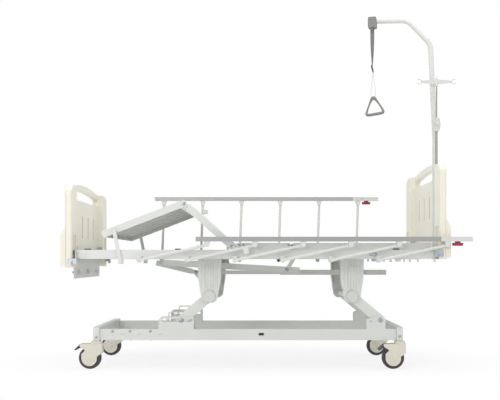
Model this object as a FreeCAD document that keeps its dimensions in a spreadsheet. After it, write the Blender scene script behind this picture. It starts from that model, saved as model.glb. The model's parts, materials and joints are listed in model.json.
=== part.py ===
import FreeCAD, Part
import math
import os
import re
import Sketcher

# Manual three-crank hospital bed: +X to the head end, +Y to the far side, +Z up, floor at Z = 0.
# Positions are measured from the middle of the bed and moved by origin_shift at the end, so that
# the origin lies under the middle of the whole outline.

os.makedirs("parts", exist_ok=True)
doc = FreeCAD.newDocument("hospital_bed")
sizes = doc.addObject("Spreadsheet::Sheet", "sizes")

# Driving dimensions in mm and degrees
driving = {
    # castors
    "wheel_radius": 62.5, "wheel_wide": 34, "castor_trail": 37, "cover_gap": 4, "cover_wall": 4,
    "swivel_radius": 30, "stem_radius": 10, "stem_tall": 28, "stem_y": 300, "axle_radius": 6, "pedal_pin": 4,
    # base
    "base_foot": -919, "base_head": 832, "base_bottom": 158, "base_rail_lift": 4, "base_rail_tall": 62,
    "base_rail_wide": 30, "base_rail_y": 290, "end_tube_wide": 35, "end_tube_tall": 78,
    "end_tube_half": 315, "tube_wall": 2.5, "cheek_wall": 4.6, "arm_gap": 0.4,
    # lift
    "foot_shaft_x": -262, "head_shaft_x": 546, "shaft_z": 410, "arm_reach": 210, "arm_angle": 40,
    "arm_thick": 18, "arm_half_tall": 28, "arm_pin": 8, "torsion_radius": 20, "journal_radius": 14,
    "lever_reach": 170, "lever_wall": 7, "lever_tip": 13, "lug_thick": 10, "jack_y": 70, "jack_wide": 34,
    "jack_tall": 31, "jack_wall": 3, "jack_tail": 145, "nut_long": 250, "nut_tilt": 13.5, "lever_pin": 6,
    "slot_play": 0.5,
    "high_turn": 10,
    # leg boxes
    "box_face": 310, "box_deep": 48, "box_wall": 4, "box_half_top": 66, "box_half_low": 42,
    "cap_radius": 35, "cap_thick": 12,
    # upper frame
    "frame_half": 1002.7, "rail_bottom": 622, "rail_tall": 50, "rail_wide": 30, "rail_y": 430,
    "frame_end_wide": 38, "frame_bend": 46, "cross_tall": 38, "cross_wide": 38, "plate_half": 328, "plate_low": 511,
    "plate_wall": 4, "plate_gap": 20, "crank_y": 225, "crank_z": 545, "crank_shaft": 8,
    # deck
    "deck_top": 710, "deck_half": 428, "sheet": 3, "hinge_drop": 20, "hinge_clear": 24,
    "hinge_pin": 5, "ear_thick": 6, "rib_deep": 12, "rib_half": 13, "rib_step": 140,
    "deck_hole": 8, "hole_step": 96, "back_hinge_x": 214, "back_long": 748, "thigh_hinge_x": -130,
    "thigh_long": 356, "calf_long": 480, "thigh_angle": 41.7, "calf_angle": 21.1,
    # drives under the deck
    "back_horn_x": -29, "back_horn_z": -132, "back_drive_y": -60, "back_drive_tilt": 3.3,
    "back_drive_long": 745, "back_drive_tail": 76, "back_drive_tall": 36, "back_drive_wide": 30,
    "knee_horn_x": 28, "knee_horn_z": -99, "knee_drive_long": 385, "knee_drive_tall": 26,
    # calf support
    "support_x": -739, "support_z": 606, "support_reach": 408, "support_drop": 6,
    "support_y": 450, "support_wall": 5, "support_half": 10,
    # side rails
    "post_y": 485, "post_radius": 8, "post_long": 380, "post_pivot_z": 614, "post_first_x": -635,
    "post_step": 261, "post_count": 6, "post_lean": 2, "post_folded": 77.4, "eye_radius": 10,
    "eye_thick": 10, "neck": 28, "rail_bar_long": 1500, "rail_bar_tall": 25, "rail_bar_wide": 26,
    "rail_bar_start": 60, "connector_drop": 20, "bar_wall": 2, "cap_long": 171, "post_pin": 5,
    # panels
    "panel_half": 465, "column_deep": 40, "mid_set_back": 34, "panel_deep": 66,
    "column_inner_y": 340, "foot_low": 575, "foot_corner": 1022,
    "foot_mid_low": 672, "head_low": 620, "head_corner": 1140, "head_mid_low": 690,
    "arch_rise": 53, "arch_radius": 2300, "corner_radius": 55, "grip_half": 330, "grip_tall": 54,
    "groove_half": 6, "groove_deep": 6, "groove_step": 141, "groove_tall": 132,
    "groove_drop": 279,
    # trapeze pole
    "pole_out": 18.3, "trapeze_y": -275, "pole_radius": 14, "trapeze_foot": 632, "trapeze_turn": 17,
    "lean_start": 1300, "lean_x": 24, "lean_end": 1850, "shoulder_x": 152, "shoulder_z": 1996,
    "arm_end_x": 345, "arm_end_z": 2011, "block_long": 34, "block_tall": 58,
    "block_deep": 44, "strap_long": 178, "strap_wide": 26, "strap_thick": 2, "loop_long": 208,
    "trapeze_grip_wide": 122, "trapeze_grip_tall": 112, "trapeze_grip_thick": 20,
    # infusion pole
    "iv_y": -318, "iv_foot": 640, "iv_tube_radius": 6.5, "iv_tube_top": 1346, "iv_rod_radius": 4.2,
    "iv_rod_low": 850, "iv_rod_top": 1620, "iv_hook_reach": 110, "iv_clamp_tall": 72,
    # clearances
    "pin_play": 0.05, "seat_gap": 0.3,
}

# Sizes that follow from the driving ones
derived = {
    "rail_top": "rail_bottom + rail_tall",
    "rail_outer": "rail_y + rail_wide / 2",
    "panel_inner": "frame_half + seat_gap",
    "panel_column": "panel_inner + column_deep",
    "panel_mid_inner": "panel_inner + mid_set_back",
    "panel_outer": "panel_inner + panel_deep",
    "pole_x": "frame_half + pole_out",
    "base_rail_low": "base_bottom + base_rail_lift",
    "base_rail_top": "base_rail_low + base_rail_tall",
    "pin_z": "shaft_z - arm_reach * sin(arm_angle * 1deg)",
    "arm_out": "arm_reach * cos(arm_angle * 1deg)",
    "head_pin_x": "head_shaft_x + arm_out",
    "foot_pin_x": "foot_shaft_x - arm_out",
    "arm_in_y": "base_rail_y - arm_thick / 2",
    "arm_out_y": "base_rail_y + arm_thick / 2",
    "bolt_out": "lever_reach * cos((90 - arm_angle) * 1deg)",
    "bolt_z": "shaft_z + lever_reach * sin((90 - arm_angle) * 1deg)",
    "hinge_z": "deck_top - hinge_drop",
    "flange_low": "rail_top + seat_gap - hinge_z",
    "knee_x": "thigh_hinge_x - thigh_long * cos(thigh_angle * 1deg)",
    "knee_z": "hinge_z + thigh_long * sin(thigh_angle * 1deg)",
    "ear_out": "deck_half - sheet - seat_gap",
    "support_run": "support_x - knee_x + support_reach * cos(calf_angle * 1deg)"
                   " - support_drop * sin(calf_angle * 1deg)",
    "support_rise": "knee_z - support_reach * sin(calf_angle * 1deg)"
                    " - support_drop * cos(calf_angle * 1deg) - support_z",
    "support_long": "sqrt(support_run * support_run + support_rise * support_rise)",
    "support_turn": "atan(support_run / support_rise) / 1deg",
    "lowered_x": "post_long * sin(post_folded * 1deg)",
    "lowered_z": "post_pivot_z + post_long * cos(post_folded * 1deg)",
    "raised_x": "post_long * sin(post_lean * 1deg)",
    "raised_z": "post_pivot_z + post_long * cos(post_lean * 1deg)",
    "lug_y": "post_y - eye_thick / 2 - seat_gap",
    "bar_far_x": "post_first_x + lowered_x - rail_bar_start + rail_bar_long",
    "origin_shift": "-(bar_far_x - panel_outer) / 2",
    "bridge_low": "2 * wheel_radius + 4",
    "castor_top": "base_bottom - seat_gap",
    "cover_in": "wheel_wide / 2 + cover_gap",
    "cover_out": "cover_in + cover_wall",
    "crank_plate_x": "-(frame_half + plate_gap)",
}

row = 1
for name, size in driving.items():
    sizes.set(f"A{row}", name)
    sizes.set(f"B{row}", str(size))
    sizes.setAlias(f"B{row}", name)
    row += 1
for name, formula in derived.items():
    sizes.set(f"A{row}", name)
    sizes.set(f"B{row}", "=" + formula)
    sizes.setAlias(f"B{row}", name)
    row += 1
doc.recompute()
known = set(driving) | set(derived)


def bound(text):
    # puts the sheet's name before each size in an expression
    return re.sub(r"[a-z][a-z0-9_]*", lambda m: "sizes." + m[0] if m[0] in known else m[0], str(text))


def number(text):
    got = sizes.evalExpression(bound(text))
    return float(getattr(got, "Value", got))


def bind(thing, prop, text):
    thing.setExpression(prop, bound(text))


def place(thing, x="0", y="0", z="0"):
    bind(thing, "Placement.Base.x", x)
    bind(thing, "Placement.Base.y", y)
    bind(thing, "Placement.Base.z", z)


nodes = []


def node(name, thing, x="0", y="0", z="0", turn=None):
    # a finished piece, in its place; turn is its angle about Y
    thing.Label = name
    place(thing, f"{x} + origin_shift", y, z)
    if turn is not None:
        thing.Placement.Rotation = FreeCAD.Rotation(FreeCAD.Vector(0, 1, 0), 1)
        bind(thing, "Placement.Rotation.Angle", f"({turn}) * 1deg")
    nodes.append(thing)
    return thing


# Plain solids
def block(name, x, y, z):
    thing = doc.addObject("Part::Box", name)
    for prop, span in zip(("Length", "Width", "Height"), (x, y, z)):
        bind(thing, prop, f"({span[1]}) - ({span[0]})")
    place(thing, x[0], y[0], z[0])
    return thing


turns = {"X": FreeCAD.Rotation(FreeCAD.Vector(0, 1, 0), 90),
         "Y": FreeCAD.Rotation(FreeCAD.Vector(1, 0, 0), -90),
         "Z": FreeCAD.Rotation()}


def rod(name, axis, a, b, span, radius, end_radius=None):
    # a round bar along an axis; a and b are its other two coordinates, in X, Y, Z order
    kind = "Part::Cylinder" if end_radius is None else "Part::Cone"
    thing = doc.addObject(kind, name)
    thing.Placement.Rotation = turns[axis]
    if end_radius is None:
        bind(thing, "Radius", radius)
    else:
        bind(thing, "Radius1", radius)
        bind(thing, "Radius2", end_radius)
    bind(thing, "Height", f"({span[1]}) - ({span[0]})")
    base = {"X": (span[0], a, b), "Y": (a, span[0], b), "Z": (a, b, span[0])}[axis]
    place(thing, *base)
    return thing


def fuse(name, *things):
    thing = doc.addObject("Part::MultiFuse", name)
    thing.Shapes = list(things)
    return thing


def cut(name, base, *tools):
    thing = doc.addObject("Part::Cut", name)
    thing.Base = base
    thing.Tool = tools[0] if len(tools) == 1 else fuse(name + "_tools", *tools)
    return thing


def group(name, *things):
    thing = doc.addObject("Part::Compound", name)
    thing.Links = list(things)
    return thing


def mirrored(name, thing, normal=(0, 1, 0)):
    twin = doc.addObject("Part::Mirroring", name)
    twin.Source = thing
    twin.Normal = FreeCAD.Vector(*normal)
    return twin


def both(name, thing):
    # a solid and its twin on the far side, in one piece
    return fuse(name, thing, mirrored(name + "_far", thing))


def tube(name, along, x, y, z, wall="tube_wall"):
    # a rectangular tube, open at its ends
    spans = {"X": x, "Y": y, "Z": z}
    inner = {axis: span if axis == along else (f"{span[0]} + {wall}", f"{span[1]} - {wall}")
             for axis, span in spans.items()}
    return cut(name, block(name + "_outer", x, y, z),
               block(name + "_inner", inner["X"], inner["Y"], inner["Z"]))


# Sketched solids
def sketch(body, plane, offset):
    thing = body.newObject("Sketcher::SketchObject", body.Name + "_sketch")
    face = [f for f in body.Origin.OriginFeatures if f.Role == plane + "_Plane"][0]
    thing.AttachmentSupport = (face, "")
    thing.MapMode = "FlatFace"
    bind(thing, "AttachmentOffset.Base.z", offset)
    return thing


def fixed(drawing, geometry, end, u, v):
    for kind, text in (("DistanceX", u), ("DistanceY", v)):
        at = drawing.addConstraint(Sketcher.Constraint(kind, -1, 1, geometry, end, number(text)))
        drawing.setExpression(f"Constraints[{at}]", bound(text))


def outline(drawing, points, closed=True):
    # a polygon or open line through points (u, v, radius), each corner rounded by its radius
    points = [tuple(p) + ("0",) * (3 - len(p)) for p in points]
    count = len(points)
    corners = [FreeCAD.Vector(number(u), number(v), 0) for u, v, _ in points]
    if closed and sum(corners[i - 1].x * corners[i].y - corners[i].x * corners[i - 1].y
                      for i in range(count)) < 0:
        points.reverse()
        corners.reverse()
    radii = [number(r) for _, _, r in points]
    entry = list(corners)
    leave = list(corners)
    arcs = {}
    for i in range(count):
        if radii[i] == 0:
            continue
        to_last = (corners[i - 1] - corners[i]).normalize()
        to_next = (corners[(i + 1) % count] - corners[i]).normalize()
        half = to_last.getAngle(to_next) / 2
        reach = radii[i] / math.tan(half)
        entry[i] = corners[i] + to_last * reach
        leave[i] = corners[i] + to_next * reach
        centre = corners[i] + (to_last + to_next).normalize() * (radii[i] / math.sin(half))
        left_turn = (corners[i] - corners[i - 1]).cross(corners[(i + 1) % count] - corners[i]).z > 0
        ends = (entry[i], leave[i]) if left_turn else (leave[i], entry[i])
        start, stop = (math.atan2(end.y - centre.y, end.x - centre.x) for end in ends)
        circle = Part.Circle(centre, FreeCAD.Vector(0, 0, 1), radii[i])
        arcs[i] = (Part.ArcOfCircle(circle, start, stop if stop > start else stop + 2 * math.pi),
                   1 if left_turn else 2)
    runs = count if closed else count - 1
    lines = [drawing.addGeometry(Part.LineSegment(leave[i], entry[(i + 1) % count]), False)
             for i in range(runs)]
    for i in range(count):
        u, v, radius = points[i]
        if not closed and i in (0, count - 1):
            fixed(drawing, lines[0] if i == 0 else lines[-1], 1 if i == 0 else 2, u, v)
        elif i not in arcs:
            drawing.addConstraint(Sketcher.Constraint("Coincident", lines[i - 1], 2, lines[i], 1))
            fixed(drawing, lines[i], 1, u, v)
        else:
            arc = drawing.addGeometry(arcs[i][0], False)
            first = arcs[i][1]
            corner = drawing.addGeometry(Part.Point(corners[i]), True)
            drawing.addConstraint(Sketcher.Constraint("PointOnObject", corner, 1, lines[i - 1]))
            drawing.addConstraint(Sketcher.Constraint("PointOnObject", corner, 1, lines[i]))
            drawing.addConstraint(Sketcher.Constraint("Tangent", lines[i - 1], 2, arc, first))
            drawing.addConstraint(Sketcher.Constraint("Tangent", lines[i], 1, arc, 3 - first))
            at = drawing.addConstraint(Sketcher.Constraint("Radius", arc, radii[i]))
            drawing.setExpression(f"Constraints[{at}]", bound(radius))
            fixed(drawing, corner, 1, u, v)


def ring(drawing, u, v, radius):
    circle = drawing.addGeometry(
        Part.Circle(FreeCAD.Vector(number(u), number(v), 0), FreeCAD.Vector(0, 0, 1), number(radius)), False)
    at = drawing.addConstraint(Sketcher.Constraint("Radius", circle, number(radius)))
    drawing.setExpression(f"Constraints[{at}]", bound(radius))
    fixed(drawing, circle, 3, u, v)


def draw(drawing, loops):
    for loop in loops:
        if loop[0] == "ring":
            ring(drawing, *loop[1:])
        else:
            outline(drawing, loop)


def slab(body, plane, low, high, *loops):
    # material between two levels of a plane; XZ sketches face -Y
    drawing = sketch(body, plane, f"-({high})" if plane == "XZ" else low)
    draw(drawing, loops)
    pad = body.newObject("PartDesign::Pad", body.Name + "_pad")
    pad.Profile = drawing
    bind(pad, "Length", f"({high}) - ({low})")
    return pad


def hollow(body, plane, low, high, *loops):
    # material taken away between two levels of a plane
    drawing = sketch(body, plane, f"-({low})" if plane == "XZ" else high)
    draw(drawing, loops)
    pocket = body.newObject("PartDesign::Pocket", body.Name + "_pocket")
    pocket.Profile = drawing
    bind(pocket, "Length", f"({high}) - ({low})")
    return pocket


def repeat(body, feature, plane_axis, length, count):
    pattern = body.newObject("PartDesign::LinearPattern", body.Name + "_pattern")
    pattern.Originals = [feature]
    axis = [f for f in body.Origin.OriginFeatures if f.Role == plane_axis + "_Axis"][0]
    pattern.Direction = (axis, [""])
    bind(pattern, "Length", length)
    bind(pattern, "Occurrences", count)
    body.Tip = pattern
    return pattern


def solid(name):
    return doc.addObject("PartDesign::Body", name)


def plate(name, plane, low, high, *loops):
    body = solid(name)
    slab(body, plane, low, high, *loops)
    return body


def bent_bar(name, level, points, radius):
    # a round bar along a line in an XZ plane that starts straight up or down
    body = solid(name)
    route = sketch(body, "XZ", f"-({level})")
    outline(route, points, closed=False)
    end = sketch(body, "XY", points[0][1])
    ring(end, points[0][0], level, radius)
    pipe = body.newObject("PartDesign::AdditivePipe", name + "_pipe")
    pipe.Profile = end
    pipe.Spine = route
    return body


def box_loop(u, v):
    return [(u[0], v[0]), (u[1], v[0]), (u[1], v[1]), (u[0], v[1])]


# Base frame: two rails, two taller end tubes, pivot cheeks at the head, slotted guides at the foot
def build_base():
    rail_in = "base_rail_y - base_rail_wide / 2"
    rail_out = "base_rail_y + base_rail_wide / 2"
    foot_end = ("base_foot", "base_foot + end_tube_wide")
    head_end = ("base_head - end_tube_wide", "base_head")
    rail = tube("base_rail", "X", (foot_end[1], head_end[0]), (rail_in, rail_out),
                ("base_rail_low", "base_rail_top"))
    window = block("rail_window", ("16", "46"), (f"{rail_out} - 5", f"{rail_out} + 5"),
                   ("base_rail_low + 26", "base_rail_low + 41"))
    rail = cut("base_rail_cut", rail, window)
    ends = []
    for end, span in (("foot", foot_end), ("head", head_end)):
        ends.append(tube(f"base_{end}_tube", "Y", span, ("-end_tube_half", "end_tube_half"),
                         ("base_bottom", "base_bottom + end_tube_tall")))
    cheek_low = "arm_in_y - arm_gap - cheek_wall"
    cheek_high = "arm_out_y + arm_gap + cheek_wall"
    pieces = [rail]
    pivot = [("head_pin_x - 80", "base_rail_top"), ("head_pin_x + 28", "base_rail_top"),
             ("head_pin_x + 28", "pin_z + 22", "22"), ("head_pin_x - 26", "pin_z + 22", "14"),
             ("head_pin_x - 80", "pin_z + 6", "12")]
    guide = [("foot_pin_x - 128", "base_rail_top"), ("foot_pin_x + 72", "base_rail_top"),
             ("foot_pin_x + 72", "pin_z + 20", "6"), ("foot_pin_x - 112", "pin_z + 20", "14"),
             ("foot_pin_x - 128", "pin_z + 2", "8")]
    reach = "arm_reach * (1 - cos(arm_angle * 1deg)) * 2 + arm_pin + 4"
    back = "arm_reach * (cos(arm_angle * 1deg) - cos((arm_angle + high_turn) * 1deg)) * 2 + arm_pin + 4"
    slot_half = "arm_pin + slot_play"
    slot = [(f"foot_pin_x - ({reach})", f"pin_z - ({slot_half})", f"({slot_half}) * 0.98"),
            (f"foot_pin_x + {back}", f"pin_z - ({slot_half})", f"({slot_half}) * 0.98"),
            (f"foot_pin_x + {back}", f"pin_z + {slot_half}", f"({slot_half}) * 0.98"),
            (f"foot_pin_x - ({reach})", f"pin_z + {slot_half}", f"({slot_half}) * 0.98")]
    for side, low, high in (("inner", cheek_low, "arm_in_y - arm_gap"),
                            ("outer", "arm_out_y + arm_gap", cheek_high)):
        pieces.append(plate(f"head_cheek_{side}", "XZ", low, high, pivot))
        pieces.append(plate(f"foot_guide_{side}", "XZ", low, high, guide, slot))
    pieces.append(rod("head_pivot_pin", "Y", "head_pin_x", "pin_z", (cheek_low, cheek_high), "arm_pin"))
    hoop_y = f"{rail_in} - 2.5"
    for size, left, right, tall in (("long", "-74", "76", "pin_z + 44"), ("short", "-121", "-84", "pin_z + 16")):
        feet = "base_rail_top - 14"
        pieces.append(bent_bar(f"guide_hoop_{size}", hoop_y,
                               [(f"foot_pin_x + {left}", feet), (f"foot_pin_x + {left}", tall, "12"),
                                (f"foot_pin_x + {right}", tall, "12"), (f"foot_pin_x + {right}", feet)], "3"))
    side = fuse("base_side", *pieces)
    frame = fuse("base_whole", side, mirrored("base_side_far", side), *ends)
    sockets = []
    holes = []
    for end, x in (("foot", "base_foot + end_tube_wide / 2"), ("head", "base_head - end_tube_wide / 2")):
        for name, y in (("near", "-stem_y"), ("far", "stem_y")):
            sockets.append(rod(f"stem_socket_{end}_{name}", "Z", x, y,
                               ("base_bottom", "base_bottom + stem_tall + 8"), "stem_radius + 4"))
            holes.append(rod(f"stem_hole_{end}_{name}", "Z", x, y,
                             ("base_bottom - 1", "base_bottom + stem_tall + 1"), "stem_radius + pin_play"))
    frame = fuse("base_sockets", frame, *sockets)
    node("base_frame", cut("base_drilled", frame, *holes))


# Castors, each about its swivel axis on the floor
def build_castor(name, x, y):
    cx = "-castor_trail"
    cz = "wheel_radius"

    def at(u, v, radius="0"):
        return (f"{cx} + {u}", f"{cz} + {v}", radius)

    cover = plate(f"{name}_cover", "XZ", "cover_in", "cover_out",
                  [at("-45", "-45", "44.8"), at("42", "-45", "41.8"), at("42", "8"), at("70", "28", "6"),
                   at("70", "83", "5"), at("-57", "79", "5"), at("-54", "64", "4"), at("-24", "44", "4"),
                   at("-45", "22", "3")])
    body = fuse(
        f"{name}_body", cover, mirrored(f"{name}_cover_far", cover),
        block(f"{name}_bridge", (f"{cx} + 8", f"{cx} + 70"), ("-cover_in", "cover_in"),
              ("bridge_low", f"{cz} + 83")),
        block(f"{name}_front", (f"{cx} + 65.5", f"{cx} + 69"), ("-cover_in", "cover_in"),
              (f"{cz} + 30", f"{cz} + 80")),
        rod(f"{name}_race", "Z", "0", "0", (f"{cz} + 82", "castor_top"), "swivel_radius"),
        rod(f"{name}_stem", "Z", "0", "0", ("castor_top - 1", "base_bottom + stem_tall"), "stem_radius"),
        rod(f"{name}_axle", "Y", cx, cz, ("-cover_in", "cover_in"), "axle_radius"),
        rod(f"{name}_pedal_pin", "Y", f"{cx} - 36", f"{cz} + 62", ("-cover_in", "cover_in"), "pedal_pin"))
    node(f"{name}_fork", body, x, y)

    wheel = solid(f"{name}_tread")
    profile = sketch(wheel, "XY", "0")
    rim = "wheel_radius"
    half = "wheel_wide / 2"
    bore = "axle_radius + pin_play"
    outline(profile, [(bore, f"-{half} + 2"), (f"{rim} - 17", f"-{half} + 2"), (f"{rim} - 13", f"-{half}"),
                      (f"{rim} - 5", f"-{half}"), (rim, f"-{half} + 6"), (rim, f"{half} - 6"),
                      (f"{rim} - 5", half), (f"{rim} - 13", half), (f"{rim} - 17", f"{half} - 2"),
                      (bore, f"{half} - 2")])
    turned = wheel.newObject("PartDesign::Revolution", f"{name}_turned")
    turned.Profile = profile
    turned.ReferenceAxis = (profile, ["V_Axis"])
    turned.Angle = 360
    node(f"{name}_wheel", wheel, f"{x} - castor_trail", y, "wheel_radius")

    pedal = plate(f"{name}_pedal_arm", "XZ", "-9", "9",
                  [at("-44", "70", "4"), at("-58", "74", "2"), at("-86", "48", "3"), at("-80", "42", "3"),
                   at("-56", "56", "3"), at("-40", "54", "3"), at("-28", "60", "3"), at("-28", "70", "3")],
                  ["ring", f"{cx} - 36", f"{cz} + 62", "pedal_pin + pin_play"])
    tread = plate(f"{name}_pedal_tread", "XZ", "-24", "24",
                  [at("-64", "69"), at("-86", "48", "3"), at("-80", "42", "3"), at("-64", "52")])
    node(f"{name}_pedal", fuse(f"{name}_pedal_body", pedal, tread), x, y)


# Lift arms: two arms and a pair of levers on one torsion tube, drawn with the arms level
def build_lift(name, sign, x, turn, pinned):
    half = "arm_half_tall"
    near = f"-({half})" if sign > 0 else f"-(arm_reach + {half})"
    far = f"arm_reach + {half}" if sign > 0 else half
    end_x = "arm_reach" if sign > 0 else "-arm_reach"
    shape = [(near, f"-{half}", f"{half} * 0.99"), (far, f"-{half}", f"{half} * 0.99"),
             (far, half, f"{half} * 0.99"), (near, half, f"{half} * 0.99")]
    loops = [shape]
    if not pinned:
        loops.append(["ring", end_x, "0", "arm_pin + pin_play"])
    arm = plate(f"{name}_arm", "XZ", "arm_in_y", "arm_out_y", *loops)
    side = [arm, rod(f"{name}_journal", "Y", "0", "0", ("arm_out_y - 1", "box_face - seat_gap"), "journal_radius")]
    if pinned:
        side.append(rod(f"{name}_pin", "Y", end_x, "0",
                        ("arm_in_y - arm_gap - cheek_wall", "arm_out_y + arm_gap + cheek_wall"), "arm_pin"))
    arms = both(f"{name}_pair", fuse(f"{name}_side", *side))
    shaft = cut(f"{name}_torsion", rod(f"{name}_torsion_outer", "Y", "0", "0", ("-arm_in_y - 1", "arm_in_y + 1"),
                                       "torsion_radius"),
                rod(f"{name}_torsion_inner", "Y", "0", "0", ("-arm_in_y - 2", "arm_in_y + 2"), "torsion_radius - 4"))
    low = "jack_y - jack_wide / 2 - seat_gap"
    high = "jack_y + jack_wide / 2 + seat_gap"
    lever = [("-14", "-11"), ("14", "-11"), ("lever_tip", "lever_reach + lever_tip", "lever_tip * 0.98"),
             ("-lever_tip", "lever_reach + lever_tip", "lever_tip * 0.98")]
    node(name, fuse(f"{name}_all", arms, shaft,
                    plate(f"{name}_lever_in", "XZ", f"{low} - lever_wall", low, lever),
                    plate(f"{name}_lever_out", "XZ", high, f"{high} + lever_wall", lever),
                    rod(f"{name}_bolt", "Y", "0", "lever_reach", (f"{low} - lever_wall", f"{high} + lever_wall"),
                        "lever_pin")),
         x, "0", "shaft_z", turn)


# Height drive: a telescoping pair between the forks of the two levers, each drilled for its fork's
# bolt. The screw's nut tube slants up to the foot end from the same bolt as the inner one.
def build_height_drive():
    wide = ("jack_y - jack_wide / 2", "jack_y + jack_wide / 2")
    tall = ("-jack_tall / 2", "jack_tall / 2")
    inset = "(jack_wall + 1)"
    inner = block("height_rod", ("8", "head_shaft_x - foot_shaft_x - 180"),
                  (f"{wide[0]} + {inset}", f"{wide[1]} - {inset}"), (f"{tall[0]} + {inset}", f"{tall[1]} - {inset}"))
    nut = fuse("nut_tube_all",
               tube("nut_tube", "X", ("-nut_long", "-24"), wide, tall, "jack_wall"),
               plate("nut_tube_lug", "XZ", wide[0], wide[1],
                     [("-50", "-11"), ("13", "-13", "12.5"), ("13", "13", "12.5"), ("-50", "11")],
                     ["ring", "0", "0", "lever_pin + pin_play"]))
    nut.Placement.Rotation = FreeCAD.Rotation(FreeCAD.Vector(0, 1, 0), 1)
    bind(nut, "Placement.Rotation.Angle", "nut_tilt * 1deg")
    node("height_drive_rod", fuse("height_rod_all", inner, nut), "foot_shaft_x - bolt_out", "0", "bolt_z")
    outer = cut("height_tube_drilled",
                tube("height_tube", "X", ("-(head_shaft_x + bolt_out) + 150", "jack_tail"), wide, tall, "jack_wall"),
                rod("height_tube_hole", "Y", "0", "0", (f"{wide[0]} - 1", f"{wide[1]} + 1"), "lever_pin + pin_play"))
    node("height_drive_tube", outer, "head_shaft_x + bolt_out", "0", "bolt_z")


# Leg boxes: pressed covers that hang from the upper frame and carry the torsion tubes
def build_leg_boxes():
    def shape(inset):
        half_top = f"box_half_top - {inset}"
        half_low = f"box_half_low - {inset}"
        return [(f"-({half_top})", "rail_bottom - shaft_z"), (half_top, "rail_bottom - shaft_z"),
                (f"{half_top} - 3", "96", "40"), (half_low, f"-36 + {inset}", f"34 - {inset}"),
                (f"-({half_low})", f"-36 + {inset}", f"34 - {inset}"), (f"-({half_top}) + 3", "96", "40")]

    def rib(half, top, low, radius):
        return [(f"-{half}", low, radius), (half, low, radius), (half, top, radius), (f"-{half}", top, radius)]

    boxes = []
    caps = []
    for end, x in (("foot", "foot_shaft_x"), ("head", "head_shaft_x")):
        body = solid(f"{end}_box")
        slab(body, "XZ", "box_face - box_deep", "box_face", shape("0"))
        hollow(body, "XZ", "box_face - box_deep", "box_face - box_wall", shape("box_wall"))
        hollow(body, "XZ", "box_face - box_deep", "box_face - box_wall",
               box_loop(("-box_half_top - 5", "box_half_top + 5"), ("-60", "torsion_radius + 25")))
        hollow(body, "XZ", "box_face - box_wall", "box_face", ["ring", "0", "0", "journal_radius + pin_play"])
        slab(body, "XZ", "box_face - 1", "box_face + 2.5", rib("35", "172", "46", "26"), rib("28", "165", "53", "20"))
        place(body, x, "0", "shaft_z")
        boxes += [body, mirrored(f"{end}_box_far", body)]
        cap = rod(f"{end}_cap", "Y", x, "shaft_z", ("box_face", "box_face + cap_thick"), "cap_radius",
                  "cap_radius - 3")
        caps += [cap, mirrored(f"{end}_cap_far", cap)]
    node("leg_boxes", group("leg_box_set", *boxes))
    node("pivot_caps", group("pivot_cap_set", *caps))


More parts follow.
